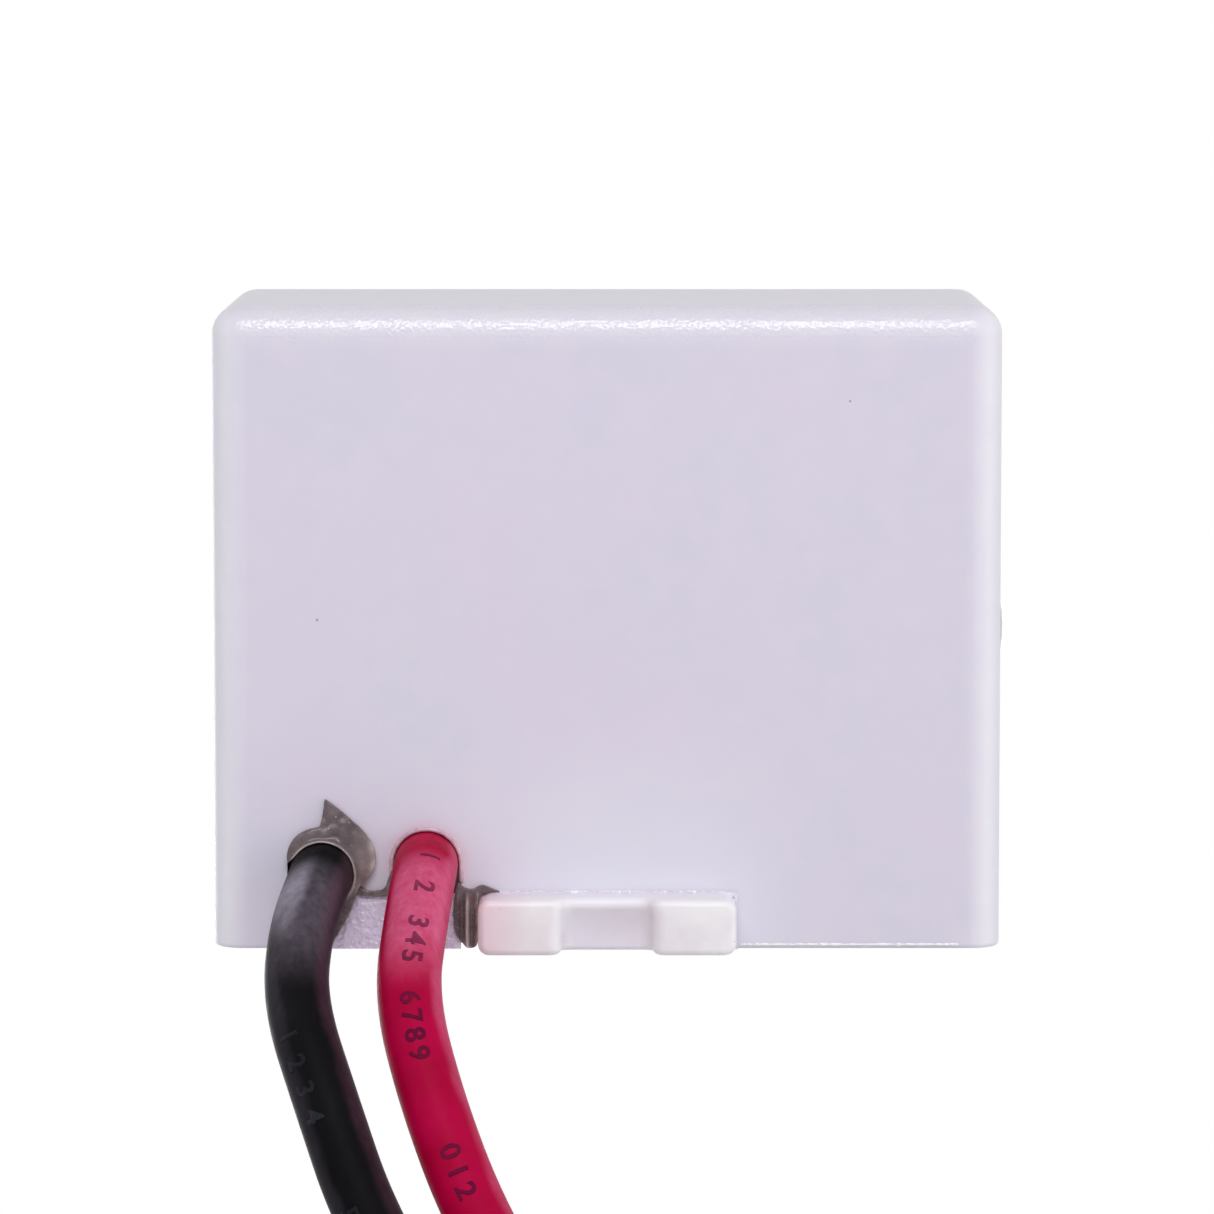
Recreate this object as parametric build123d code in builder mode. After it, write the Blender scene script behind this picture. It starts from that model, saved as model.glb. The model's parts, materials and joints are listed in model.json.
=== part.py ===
from build123d import *
from math import pi, radians, tan
import os

# Potted surge protection module with two flying leads.
#
# A closed plastic cup, mouth down, holds two metal oxide varistors, a thermal cut-off, a small board
# and a status light, all cast in resin. Two stranded leads leave through slots in the front wall.
#
# Frame: X to the right, Y to the back, Z up. The origin is the middle of the flat rear face.
# Units are millimetres.

os.makedirs("parts", exist_ok=True)

# ---------------------------------------------------------------- driving dimensions

# Varistors: coated zinc oxide discs, standing side by side
varistor_thickness = 4.0
varistor_gap = 3.2
varistor_edge_radius = 1.2
ceramic_diameter = 20.0
coating_rim = 0.75
ceramic_thickness = 1.9
electrode_rim = 1.0
electrode_thickness = 0.1
varistor_leg_diameter = 0.8
varistor_leg_pitch = 7.5
varistor_leg_overlap = 4.0

# Housing: what surrounds the varistors
wall = 1.6
varistor_wall_gap = 0.8
varistor_top_gap = 1.5
varistor_board_gap = 0.9
left_bay = 4.15
edge_radius = 1.3
rim_edge_radius = 0.2
cavity_corner_radius = 0.4

# Board
board_thickness = 0.8
board_lift = 0.3
board_cover_gap = 0.15
lead_notch_gap = 0.6
track_thickness = 0.05
power_track_width = 1.2
signal_track_width = 0.8
track_gap = 0.15
track_edge_gap = 0.2
pad_ring = 0.3
pin_clearance = 0.05
solder_height = 0.2
solder_flare = 0.25
solder_collar = 0.1

# Leads
lead_diameter = 2.75
conductor_diameter = 1.85
conductor_bend = 1.2
lead_pitch = 4.5
lead_side_gap = 1.6
slot_clearance = 0.125
red_lead_rise = 3.7
black_lead_rise = 3.3
slot_rise = 3.7
lead_held_length = 2.6
conductor_run = 3.2
tip_length = 8.0
tip_edge_radius = 0.25

# Closing piece: plate, tongue under the leads, two-lugged foot
cover_thickness = 1.2
cover_clearance = 0.15
cover_root = 0.3
window_clearance = 0.1
tongue_height = 2.4
cover_split_gap = 0.75
foot_width = 11.1
foot_height = 2.4
foot_reach = 2.2
foot_corner_radius = 0.5
lug_width = 3.6
lug_inner_radius = 0.6
lug_edge_radius = 0.3
notch_top_reach = 1.8
notch_bottom_reach = 0.5
notch_scoop = 0.25
notch_side_radius = 0.5

# Resin that has run out round the leads and in the seams
flap_thickness = 0.6
seam_bead = 0.15
seam_bead_height = 0.25
seam_recess = 0.2
glue_bead = 0.1
slot_fill_recess = 0.15
smear_length = 1.8
smear_height = 0.4

# Outline of the flap of resin at the black lead: to the right of the lead, and up from the base
flap_tip = (0.13, 6.5)
flap_shoulder = (1.2, 5.7)
flap_side = (2.3, 4.1)
flap_waist = (1.5, 2.7)
flap_toe = (0.3, 0.2)
flap_heel = (-0.2, 0.4)
flap_crescent_end = (-1.25, 3.8)
flap_crescent = (-0.85, 4.8)
flap_crook = (-0.06, 5.2)

# Status light and its lens in the right wall
lens_diameter = 4.8
lens_proud = 0.5
lens_rise = 13.3
lens_clearance = 0.05
lens_flange_diameter = 6.2
lens_flange_thickness = 0.6
led_lens_gap = 0.2
led_diameter = 3.0
led_length = 3.4
led_tip_flat = 0.3
led_rim_diameter = 3.4
led_rim_thickness = 0.7
led_leg_diameter = 0.5
led_leg_pitch = 2.54
led_leg_reach = 0.45
led_leg_bend = 0.3
led_varistor_gap = 0.25

# Axial parts
part_gap = 0.9
part_lift = 0.2
axial_wire_diameter = 0.6
axial_wire_reach = 0.9
axial_wire_bend = 0.6
resistor_diameter = 2.3
resistor_length = 6.3
diode_diameter = 2.6
diode_length = 5.0
diode_band_width = 0.9
diode_band_depth = 0.05
resistor_edge_radius = 0.45
fuse_diameter = 2.4
fuse_edge_radius = 0.4
fuse_length = 7.0
fuse_wire_diameter = 0.7
fuse_wire_reach = 1.9
fuse_wire_bend = 0.9
fuse_lead_gap = 0.625

# Centre lines of the free leads, from each exit: to the right, forward and up
red_route = [
    (0.0, 0.0, 0.0),
    (0.0, 1.9, 0.0),
    (-0.3, 4.5, -1.7),
    (-0.7, 7.2, -4.7),
    (0.5, 9.9, -8.7),
    (2.3, 11.8, -13.1),
    (5.3, 12.8, -18.1),
    (7.2, 12.9, -26.0),
    (7.4, 12.3, -38.0),
    (6.5, 11.6, -56.0),
    (6.9, 11.3, -78.0),
    (7.9, 11.6, -102.0),
    (7.9, 12.2, -122.0),
    (7.3, 12.4, -135.4),
]
black_route = [
    (0.0, 0.0, 0.0),
    (0.0, 1.9, 0.0),
    (-0.7, 4.5, -1.7),
    (-0.9, 7.2, -4.5),
    (0.6, 9.9, -8.4),
    (2.2, 11.8, -12.7),
    (5.2, 12.8, -17.7),
    (6.8, 13.1, -25.5),
    (6.7, 12.8, -37.0),
    (5.7, 12.3, -54.0),
    (5.2, 12.4, -76.0),
    (5.9, 12.9, -100.0),
    (6.8, 12.8, -121.0),
    (7.1, 12.3, -135.2),
]

# ---------------------------------------------------------------- derived places

slot_radius = lead_diameter / 2 + slot_clearance
varistor_diameter = ceramic_diameter + 2 * coating_rim
electrode_diameter = ceramic_diameter - 2 * electrode_rim
right_bay = (lens_flange_thickness + led_lens_gap + led_length + led_leg_reach
             + led_leg_diameter / 2 + led_varistor_gap)
board_top_rise = cover_thickness + board_lift + board_thickness

housing_width = 2 * wall + left_bay + varistor_diameter + right_bay
housing_depth = 2 * (wall + varistor_wall_gap + varistor_thickness) + varistor_gap
housing_height = (board_top_rise + varistor_board_gap + varistor_diameter
                  + varistor_top_gap + wall)

base_z = -housing_height / 2
top_z = housing_height / 2
front_y = -housing_depth
middle_y = -housing_depth / 2
left_x = -housing_width / 2
right_x = housing_width / 2
inner_width = housing_width - 2 * wall
inner_depth = housing_depth - 2 * wall
inner_front_y = front_y + wall
inner_right_x = right_x - wall
inner_top_z = top_z - wall
cover_top_z = base_z + cover_thickness

board_bottom_z = cover_top_z + board_lift
board_top_z = board_bottom_z + board_thickness
pin_end_z = board_bottom_z - track_thickness - solder_height

varistor_x = left_x + wall + left_bay + varistor_diameter / 2
varistor_z = board_top_z + varistor_board_gap + varistor_diameter / 2
varistor_offset_y = (varistor_gap + varistor_thickness) / 2
leg_offset_y = (ceramic_thickness + varistor_leg_diameter) / 2 + electrode_thickness

black_lead_x = left_x + wall + lead_side_gap + slot_radius
red_lead_x = black_lead_x + lead_pitch
red_lead_z = base_z + red_lead_rise
black_lead_z = base_z + black_lead_rise
slot_z = base_z + slot_rise
held_end_y = inner_front_y + lead_held_length
conductor_y = held_end_y + conductor_run

window_left = black_lead_x - slot_radius
tongue_left = window_left + window_clearance
tongue_right = red_lead_x + slot_radius
foot_left = tongue_right + cover_split_gap
foot_right = foot_left + foot_width
foot_x = (foot_left + foot_right) / 2
window_right = foot_right + window_clearance
window_top_z = base_z + max(tongue_height, foot_height) + window_clearance
notch_width = foot_width - 2 * lug_width
cover_root_y = inner_front_y + cover_clearance + cover_root
board_edge_gap = cover_clearance + cover_root + board_cover_gap

lens_z = base_z + lens_rise
led_front_x = inner_right_x - lens_flange_thickness - led_lens_gap
led_back_x = led_front_x - led_length
led_leg_x = led_back_x - led_leg_reach
led_leg_ys = [middle_y - led_leg_pitch / 2, middle_y + led_leg_pitch / 2]

resistor_x = led_leg_x - (led_leg_diameter + resistor_diameter) / 2 - part_gap
resistor_z = board_top_z + part_lift + resistor_diameter / 2
resistor_pin_y = resistor_length / 2 + axial_wire_reach
diode_x = led_leg_x + (led_leg_diameter + diode_diameter) / 2 + part_gap
diode_z = board_top_z + part_lift + diode_diameter / 2
diode_pin_y = diode_length / 2 + axial_wire_reach
fuse_left_x = red_lead_x + (conductor_diameter + fuse_wire_diameter) / 2 + fuse_lead_gap
fuse_x = fuse_left_x + fuse_wire_reach + fuse_length / 2
fuse_right_x = fuse_x + fuse_length / 2 + fuse_wire_reach

# Planes that sketches stand on
front_plane = Plane.XZ.offset(-front_y)
right_plane = Plane.YZ.offset(right_x)
middle_plane = Plane.XZ.offset(-middle_y)

# Pins through the board: x, y and wire diameter of each
varistor_pins = {
    name: [
        (varistor_x - varistor_leg_pitch / 2, y - leg_offset_y, varistor_leg_diameter),
        (varistor_x + varistor_leg_pitch / 2, y + leg_offset_y, varistor_leg_diameter),
    ]
    for name, y in (("front", middle_y - varistor_offset_y), ("rear", middle_y + varistor_offset_y))
}
black_pin = (black_lead_x, conductor_y, conductor_diameter)
red_pin = (red_lead_x, conductor_y, conductor_diameter)
fuse_pins = [(pin_x, middle_y, fuse_wire_diameter) for pin_x in (fuse_left_x, fuse_right_x)]
resistor_pins = [(resistor_x, middle_y + side * resistor_pin_y, axial_wire_diameter)
                 for side in (-1, 1)]
diode_pins = [(diode_x, middle_y + side * diode_pin_y, axial_wire_diameter) for side in (-1, 1)]
led_pins = [(led_leg_x, y, led_leg_diameter) for y in led_leg_ys]
all_pins = (varistor_pins["front"] + varistor_pins["rear"] + [black_pin, red_pin]
            + fuse_pins + resistor_pins + diode_pins + led_pins)


# ---------------------------------------------------------------- helpers

def write(piece, node):
    """Label a finished piece and write it as its own file."""
    piece.part.label = node
    export_step(piece.part, f"parts/{node}.step")


def bent_wire(points, diameter, bend):
    """Round wire along straight runs joined by arcs of one radius."""
    with BuildPart() as piece:
        with BuildLine() as path:
            FilletPolyline(*points, radius=bend)
        with BuildSketch(Plane(origin=path.line @ 0, z_dir=path.line % 0)):
            Circle(diameter / 2)
        sweep(path=path.line)
    return piece.part


def pin_wire(start, pin, bend):
    """Wire from a part's end, level to above its pin, then down through the board."""
    x, y, diameter = pin
    return bent_wire([start, (x, y, start[2]), (x, y, pin_end_z)], diameter, bend)


def on_flap(offset):
    """Point of the front plane: to the right of the black lead, and up from the base."""
    return black_lead_x + offset[0], base_z + offset[1]


# ---------------------------------------------------------------- housing and closing piece

with BuildPart() as housing_shell:
    with BuildSketch(Plane.XY.offset(base_z)):
        with Locations((0, middle_y)):
            Rectangle(housing_width, housing_depth)
    extrude(amount=housing_height)
    fillet(housing_shell.edges().filter_by(Axis.Z), radius=edge_radius)
    fillet(housing_shell.faces().sort_by(Axis.Z)[-1].edges(), radius=edge_radius)
    fillet(housing_shell.faces().sort_by(Axis.Z)[0].edges(), radius=rim_edge_radius)
    with BuildSketch(Plane.XY.offset(base_z)):
        with Locations((0, middle_y)):
            RectangleRounded(inner_width, inner_depth, cavity_corner_radius)
    extrude(amount=housing_height - wall, mode=Mode.SUBTRACT)
    # Window for the closing piece and the two lead slots that open into it
    with BuildSketch(front_plane):
        with Locations(((window_left + window_right) / 2, (base_z + window_top_z) / 2)):
            Rectangle(window_right - window_left, window_top_z - base_z)
        for slot_x in (black_lead_x, red_lead_x):
            with Locations((slot_x, (base_z + slot_z) / 2)):
                Rectangle(2 * slot_radius, slot_rise)
            with Locations((slot_x, slot_z)):
                Circle(slot_radius)
    extrude(amount=-wall, mode=Mode.SUBTRACT)
    with BuildSketch(right_plane):
        with Locations((middle_y, lens_z)):
            Circle(lens_diameter / 2 + lens_clearance)
    extrude(amount=-wall, mode=Mode.SUBTRACT)
write(housing_shell, "housing_shell")

# What the scooped notch between the two lugs takes away
with BuildPart() as foot_notch:
    with BuildSketch(Plane.YZ.offset(foot_x - notch_width / 2)):
        with BuildLine():
            scoop_bottom = (front_y - notch_bottom_reach, base_z)
            scoop_top = (front_y - notch_top_reach, base_z + foot_height)
            scoop_middle = ((scoop_bottom[0] + scoop_top[0]) / 2 + notch_scoop,
                            (scoop_bottom[1] + scoop_top[1]) / 2)
            ThreePointArc(scoop_bottom, scoop_middle, scoop_top)
            Polyline(scoop_top, (front_y - foot_reach, scoop_top[1]),
                     (front_y - foot_reach, scoop_bottom[1]), scoop_bottom)
        make_face()
    extrude(amount=notch_width)
    scoop_side_edges = foot_notch.edges().filter_by(GeomType.CIRCLE)
    fillet(scoop_side_edges, radius=notch_side_radius)

with BuildPart() as base_cover:
    with BuildSketch(front_plane):
        with Locations((foot_x, base_z + foot_height / 2)):
            RectangleRounded(foot_width, foot_height, foot_corner_radius)
    extrude(amount=foot_reach)
    add(foot_notch.part, mode=Mode.SUBTRACT)
    lug_front_edges = base_cover.edges().filter_by(Axis.Z).group_by(Axis.Y)[0]
    fillet(lug_front_edges.sort_by(SortBy.LENGTH)[-2:], radius=lug_inner_radius)
    lug_faces = base_cover.faces().sort_by(Axis.Y)[:2]
    fillet(lug_faces.edges(), radius=lug_edge_radius)
    # Root of the foot, in the wall's window
    with BuildSketch(Plane.XY.offset(base_z)):
        with Locations((foot_x, (front_y + cover_root_y) / 2)):
            Rectangle(foot_width, cover_root_y - front_y)
    extrude(amount=foot_height)
    # Plate inside the mouth
    with BuildSketch(Plane.XY.offset(base_z)):
        with Locations((0, middle_y)):
            RectangleRounded(inner_width - 2 * cover_clearance, inner_depth - 2 * cover_clearance,
                             cavity_corner_radius)
    extrude(amount=cover_thickness)
    # Tongue, hollowed for the leads that lie on it
    with BuildSketch(Plane.XY.offset(base_z)):
        with Locations(((tongue_left + tongue_right) / 2, (front_y + cover_root_y) / 2)):
            Rectangle(tongue_right - tongue_left, cover_root_y - front_y)
    extrude(amount=tongue_height)
    with BuildSketch(front_plane):
        with Locations((black_lead_x, black_lead_z), (red_lead_x, red_lead_z)):
            Circle(lead_diameter / 2)
    extrude(amount=front_y - cover_root_y, mode=Mode.SUBTRACT)
write(base_cover, "base_cover")

# ---------------------------------------------------------------- varistors

varistor_pieces = []
for name, side in (("front", -1), ("rear", 1)):
    disc_y = middle_y + side * varistor_offset_y

    with BuildPart() as ceramic:
        with BuildSketch(Plane.XZ.offset(-disc_y)):
            with Locations((varistor_x, varistor_z)):
                Circle(ceramic_diameter / 2)
        extrude(amount=ceramic_thickness / 2, both=True)
    write(ceramic, f"{name}_varistor_ceramic")

    with BuildPart() as electrodes:
        for face_y in (disc_y - ceramic_thickness / 2,
                       disc_y + ceramic_thickness / 2 + electrode_thickness):
            with BuildSketch(Plane.XZ.offset(-face_y)):
                with Locations((varistor_x, varistor_z)):
                    Circle(electrode_diameter / 2)
            extrude(amount=electrode_thickness)
    write(electrodes, f"{name}_varistor_electrodes")

    with BuildPart() as legs:
        for pin_x, pin_y, diameter in varistor_pins[name]:
            with BuildSketch(Plane.XY.offset(pin_end_z)):
                with Locations((pin_x, pin_y)):
                    Circle(diameter / 2)
            extrude(amount=varistor_z + varistor_leg_overlap - pin_end_z)
    write(legs, f"{name}_varistor_legs")

    with BuildPart() as coating:
        with BuildSketch(Plane.XZ.offset(-disc_y)):
            with Locations((varistor_x, varistor_z)):
                Circle(varistor_diameter / 2)
        extrude(amount=varistor_thickness / 2, both=True)
        fillet(coating.edges().filter_by(GeomType.CIRCLE), radius=varistor_edge_radius)
        add(ceramic.part, mode=Mode.SUBTRACT)
        add(electrodes.part, mode=Mode.SUBTRACT)
        add(legs.part, mode=Mode.SUBTRACT)
    write(coating, f"{name}_varistor_coating")

    varistor_pieces += [ceramic, electrodes, legs, coating]

# ---------------------------------------------------------------- thermal cut-off

with BuildPart() as thermal_fuse:
    with BuildSketch(Plane.YZ.offset(fuse_x - fuse_length / 2)):
        with Locations((middle_y, varistor_z)):
            Circle(fuse_diameter / 2)
    extrude(amount=fuse_length)
    fillet(thermal_fuse.edges().filter_by(GeomType.CIRCLE), radius=fuse_edge_radius)
write(thermal_fuse, "thermal_fuse")

fuse_wires = [
    pin_wire((fuse_x + side * fuse_length / 2, middle_y, varistor_z), pin, fuse_wire_bend)
    for side, pin in zip((-1, 1), fuse_pins)
]
with BuildPart() as thermal_fuse_wires:
    for fuse_wire in fuse_wires:
        add(fuse_wire)
write(thermal_fuse_wires, "thermal_fuse_wires")

# ---------------------------------------------------------------- status light

with BuildPart() as indicator_lens:
    with BuildSketch(Plane.YZ.offset(inner_right_x - lens_flange_thickness)):
        with Locations((middle_y, lens_z)):
            Circle(lens_flange_diameter / 2)
    extrude(amount=lens_flange_thickness)
    # Plug and shallow dome, turned about the lens's own axis
    with BuildSketch(Plane(origin=(0, middle_y, lens_z), x_dir=(1, 0, 0), z_dir=(0, -1, 0))):
        with BuildLine():
            rim = (right_x, lens_diameter / 2)
            crown = (right_x + lens_proud, 0)
            dome_radius = (lens_proud ** 2 + (lens_diameter / 2) ** 2) / (2 * lens_proud)
            RadiusArc(rim, crown, dome_radius)
            Polyline(crown, (inner_right_x, 0), (inner_right_x, lens_diameter / 2), rim)
        make_face()
    revolve(axis=Axis((0, middle_y, lens_z), (1, 0, 0)))
write(indicator_lens, "indicator_lens")

with BuildPart() as status_led:
    with BuildSketch(Plane.YZ.offset(led_back_x)):
        with Locations((middle_y, lens_z)):
            Circle(led_rim_diameter / 2)
    extrude(amount=led_rim_thickness)
    with BuildSketch(Plane.YZ.offset(led_back_x)):
        with Locations((middle_y, lens_z)):
            Circle(led_diameter / 2)
    extrude(amount=led_length)
    fillet(status_led.faces().sort_by(Axis.X)[-1].edges(), radius=(led_diameter - led_tip_flat) / 2)
write(status_led, "status_led")

led_wires = [pin_wire((led_back_x, y, lens_z), pin, led_leg_bend)
             for y, pin in zip(led_leg_ys, led_pins)]
with BuildPart() as status_led_legs:
    for led_wire in led_wires:
        add(led_wire)
write(status_led_legs, "status_led_legs")

# ---------------------------------------------------------------- resistor and diode

with BuildPart() as led_resistor:
    with BuildSketch(middle_plane):
        with Locations((resistor_x, resistor_z)):
            Circle(resistor_diameter / 2)
    extrude(amount=resistor_length / 2, both=True)
    fillet(led_resistor.edges().filter_by(GeomType.CIRCLE), radius=resistor_edge_radius)
write(led_resistor, "led_resistor")

with BuildPart() as led_diode:
    with BuildSketch(middle_plane):
        with Locations((diode_x, diode_z)):
            Circle(diode_diameter / 2)
    extrude(amount=diode_length / 2, both=True)
    # Shallow ring that marks the cathode end
    with BuildSketch(Plane.XZ.offset(-(middle_y + diode_length / 2 - diode_band_width))):
        with Locations((diode_x, diode_z)):
            Circle(diode_diameter / 2)
            Circle(diode_diameter / 2 - diode_band_depth, mode=Mode.SUBTRACT)
    extrude(amount=diode_band_width, mode=Mode.SUBTRACT)
write(led_diode, "led_diode")

resistor_leads = [
    pin_wire((resistor_x, middle_y + side * resistor_length / 2, resistor_z), pin, axial_wire_bend)
    for side, pin in zip((-1, 1), resistor_pins)
]
with BuildPart() as led_resistor_leads:
    for resistor_lead in resistor_leads:
        add(resistor_lead)
write(led_resistor_leads, "led_resistor_leads")

diode_leads = [
    pin_wire((diode_x, middle_y + side * diode_length / 2, diode_z), pin, axial_wire_bend)
    for side, pin in zip((-1, 1), diode_pins)
]
with BuildPart() as led_diode_leads:
    for diode_lead in diode_leads:
        add(diode_lead)
write(led_diode_leads, "led_diode_leads")

# ---------------------------------------------------------------- board

board_width = inner_width - 2 * board_edge_gap
board_depth = inner_depth - 2 * board_edge_gap
board_notch_width = red_lead_x + lead_diameter / 2 + lead_notch_gap + board_width / 2
board_notch_depth = held_end_y + lead_notch_gap - (middle_y - board_depth / 2)

with BuildPart() as circuit_board:
    with BuildSketch(Plane.XY.offset(board_bottom_z)):
        with Locations((0, middle_y)):
            Rectangle(board_width, board_depth)
        # Corner cut away where the insulated leads come in
        with Locations((-(board_width - board_notch_width) / 2,
                        middle_y - (board_depth - board_notch_depth) / 2)):
            Rectangle(board_notch_width, board_notch_depth, mode=Mode.SUBTRACT)
        for pin_x, pin_y, diameter in all_pins:
            with Locations((pin_x, pin_y)):
                Circle(diameter / 2 + pin_clearance, mode=Mode.SUBTRACT)
    extrude(amount=board_thickness)
write(circuit_board, "circuit_board")

# Copper nets under the board, each a chain of corners joined by straight strips
fuse_left, fuse_right = fuse_pins
front_left, front_right = varistor_pins["front"]
rear_left, rear_right = varistor_pins["rear"]
resistor_front, resistor_rear = resistor_pins
diode_front, diode_rear = diode_pins
led_front_leg, led_rear_leg = led_pins
supply_y = conductor_y + (conductor_diameter + power_track_width) / 2 + pad_ring + track_gap
return_y = middle_y - board_depth / 2 + signal_track_width / 2 + track_edge_gap
nets = [
    (power_track_width, [black_pin[:2], (black_lead_x, supply_y), (fuse_left[0], supply_y),
                         fuse_left[:2]]),
    (power_track_width, [fuse_right[:2], (front_right[0], middle_y), front_right[:2],
                         rear_right[:2]]),
    (power_track_width, [red_pin[:2], (red_lead_x, front_right[1]), (front_left[0], front_right[1]),
                         rear_left[:2]]),
    (signal_track_width, [(front_left[0], front_right[1]), (front_left[0], return_y),
                          (diode_x, return_y), diode_front[:2]]),
    (signal_track_width, [(rear_right[0], resistor_rear[1]), resistor_rear[:2]]),
    (signal_track_width, [resistor_front[:2], (led_leg_x, resistor_front[1]), led_front_leg[:2]]),
    (signal_track_width, [led_rear_leg[:2], (led_leg_x, diode_rear[1]), diode_rear[:2]]),
]
with BuildPart() as board_tracks:
    with BuildSketch(Plane.XY.offset(board_bottom_z)):
        for track_width, corners in nets:
            for (x1, y1), (x2, y2) in zip(corners, corners[1:]):
                with Locations(((x1 + x2) / 2, (y1 + y2) / 2)):
                    Rectangle(abs(x2 - x1) + track_width, abs(y2 - y1) + track_width)
        for pin_x, pin_y, diameter in all_pins:
            with Locations((pin_x, pin_y)):
                Circle(diameter / 2 + pad_ring)
                Circle(diameter / 2 + pin_clearance, mode=Mode.SUBTRACT)
    extrude(amount=-track_thickness)
write(board_tracks, "board_tracks")

solder_z = board_bottom_z - track_thickness
with BuildPart() as solder_joints:
    for pin_x, pin_y, diameter in all_pins:
        with Locations((pin_x, pin_y, solder_z - solder_height / 2)):
            Cone(diameter / 2 + solder_collar, diameter / 2 + solder_flare, solder_height)
            Cylinder(diameter / 2, solder_height, mode=Mode.SUBTRACT)
write(solder_joints, "solder_joints")

# ---------------------------------------------------------------- leads, held part

held_leads = {}
conductors = {}
for colour, lead_x, lead_z, pin in (("black", black_lead_x, black_lead_z, black_pin),
                                    ("red", red_lead_x, red_lead_z, red_pin)):
    with BuildPart() as held_lead:
        with BuildSketch(front_plane):
            with Locations((lead_x, lead_z)):
                Circle(lead_diameter / 2)
        extrude(amount=front_y - held_end_y)
    write(held_lead, f"{colour}_lead_held_end")
    held_leads[colour] = held_lead

    conductor_wire = pin_wire((lead_x, held_end_y, lead_z), pin, conductor_bend)
    with BuildPart() as conductor:
        add(conductor_wire)
    write(conductor, f"{colour}_lead_conductor")
    conductors[colour] = conductor

# ---------------------------------------------------------------- potting compound

with BuildPart() as potting_compound:
    # It fills the cup and the seam round the closing plate, almost to the mouth
    with BuildSketch(Plane.XY.offset(base_z + seam_recess)):
        with Locations((0, middle_y)):
            RectangleRounded(inner_width, inner_depth, cavity_corner_radius)
    extrude(amount=inner_top_z - base_z - seam_recess)
    for piece in varistor_pieces + [thermal_fuse, thermal_fuse_wires, indicator_lens, status_led,
                                    status_led_legs, led_resistor, led_resistor_leads, led_diode,
                                    led_diode_leads, circuit_board, board_tracks, solder_joints,
                                    base_cover]:
        add(piece.part, mode=Mode.SUBTRACT)
    for piece in list(held_leads.values()) + list(conductors.values()):
        add(piece.part, mode=Mode.SUBTRACT)
write(potting_compound, "potting_compound")

# ---------------------------------------------------------------- resin seals

with BuildPart() as black_lead_seal:
    # Leaf of resin that has run out over the lead and stands on the front, with a pointed top
    with BuildSketch(front_plane):
        with BuildLine():
            flap_edge = (flap_tip, flap_shoulder, flap_side, flap_waist, flap_toe)
            Spline(*[on_flap(point) for point in flap_edge])
            Line(on_flap(flap_toe), on_flap(flap_heel))
            Line(on_flap(flap_heel), on_flap(flap_crescent_end))
            ThreePointArc(on_flap(flap_crescent_end), on_flap(flap_crescent), on_flap(flap_crook))
            Line(on_flap(flap_crook), on_flap(flap_tip))
        make_face()
    extrude(amount=flap_thickness)
    # Fill of the slot above the tongue
    with BuildSketch(front_plane):
        with Locations((black_lead_x, (base_z + tongue_height + slot_z) / 2)):
            Rectangle(2 * slot_radius, slot_rise - tongue_height)
        with Locations((black_lead_x, slot_z)):
            Circle(slot_radius)
    extrude(amount=-wall)
    with BuildSketch(front_plane.offset(flap_thickness)):
        with Locations((black_lead_x, black_lead_z)):
            Circle(lead_diameter / 2)
    extrude(amount=-(wall + flap_thickness), mode=Mode.SUBTRACT)
    add(base_cover.part, mode=Mode.SUBTRACT)
write(black_lead_seal, "black_lead_seal")

with BuildPart() as red_lead_seal:
    with BuildSketch(front_plane.offset(-slot_fill_recess)):
        with Locations((red_lead_x, (base_z + tongue_height + slot_z) / 2)):
            Rectangle(2 * slot_radius, slot_rise - tongue_height)
        with Locations((red_lead_x, slot_z)):
            Circle(slot_radius)
        with Locations((red_lead_x, red_lead_z)):
            Circle(lead_diameter / 2, mode=Mode.SUBTRACT)
    extrude(amount=slot_fill_recess - wall)
    add(base_cover.part, mode=Mode.SUBTRACT)
write(red_lead_seal, "red_lead_seal")

with BuildPart() as cover_gap_seal:
    # Column between tongue and foot, standing a little proud of the wall
    with BuildSketch(front_plane.offset(seam_bead)):
        with Locations(((tongue_right + foot_left) / 2, (base_z + window_top_z) / 2)):
            Rectangle(foot_left - tongue_right, window_top_z - base_z)
    extrude(amount=-(wall + seam_bead))
    # Smear that tapers away from the column above the foot
    with BuildSketch(front_plane):
        with BuildLine():
            Polyline((tongue_right, window_top_z), (tongue_right, window_top_z + smear_height),
                     (tongue_right + smear_length, window_top_z), (tongue_right, window_top_z))
        make_face()
    extrude(amount=seam_bead)
write(cover_gap_seal, "cover_gap_seal")

with BuildPart() as tongue_seam_seal:
    # Seam above the tongue, between the two slots
    with BuildSketch(front_plane.offset(seam_bead)):
        with Locations(((black_lead_x + red_lead_x) / 2, (base_z + tongue_height + window_top_z) / 2)):
            Rectangle(lead_pitch - 2 * slot_radius, window_top_z - base_z - tongue_height)
    extrude(amount=-(wall + seam_bead))
    with BuildSketch(front_plane):
        with Locations(((black_lead_x + red_lead_x) / 2, window_top_z + seam_bead_height / 2)):
            Rectangle(lead_pitch - 2 * slot_radius, seam_bead_height)
    extrude(amount=seam_bead)
    add(black_lead_seal.part, mode=Mode.SUBTRACT)
write(tongue_seam_seal, "tongue_seam_seal")

with BuildPart() as foot_glue_line:
    # Clear glue in the gap over the foot and beside it
    with BuildSketch(front_plane.offset(glue_bead)):
        with Locations(((foot_left + window_right) / 2, (base_z + window_top_z) / 2)):
            Rectangle(window_right - foot_left, window_top_z - base_z)
        with Locations((foot_x, base_z + foot_height / 2)):
            Rectangle(foot_width, foot_height, mode=Mode.SUBTRACT)
    extrude(amount=-(wall + glue_bead))
write(foot_glue_line, "foot_glue_line")

# ---------------------------------------------------------------- leads, free part


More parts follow.
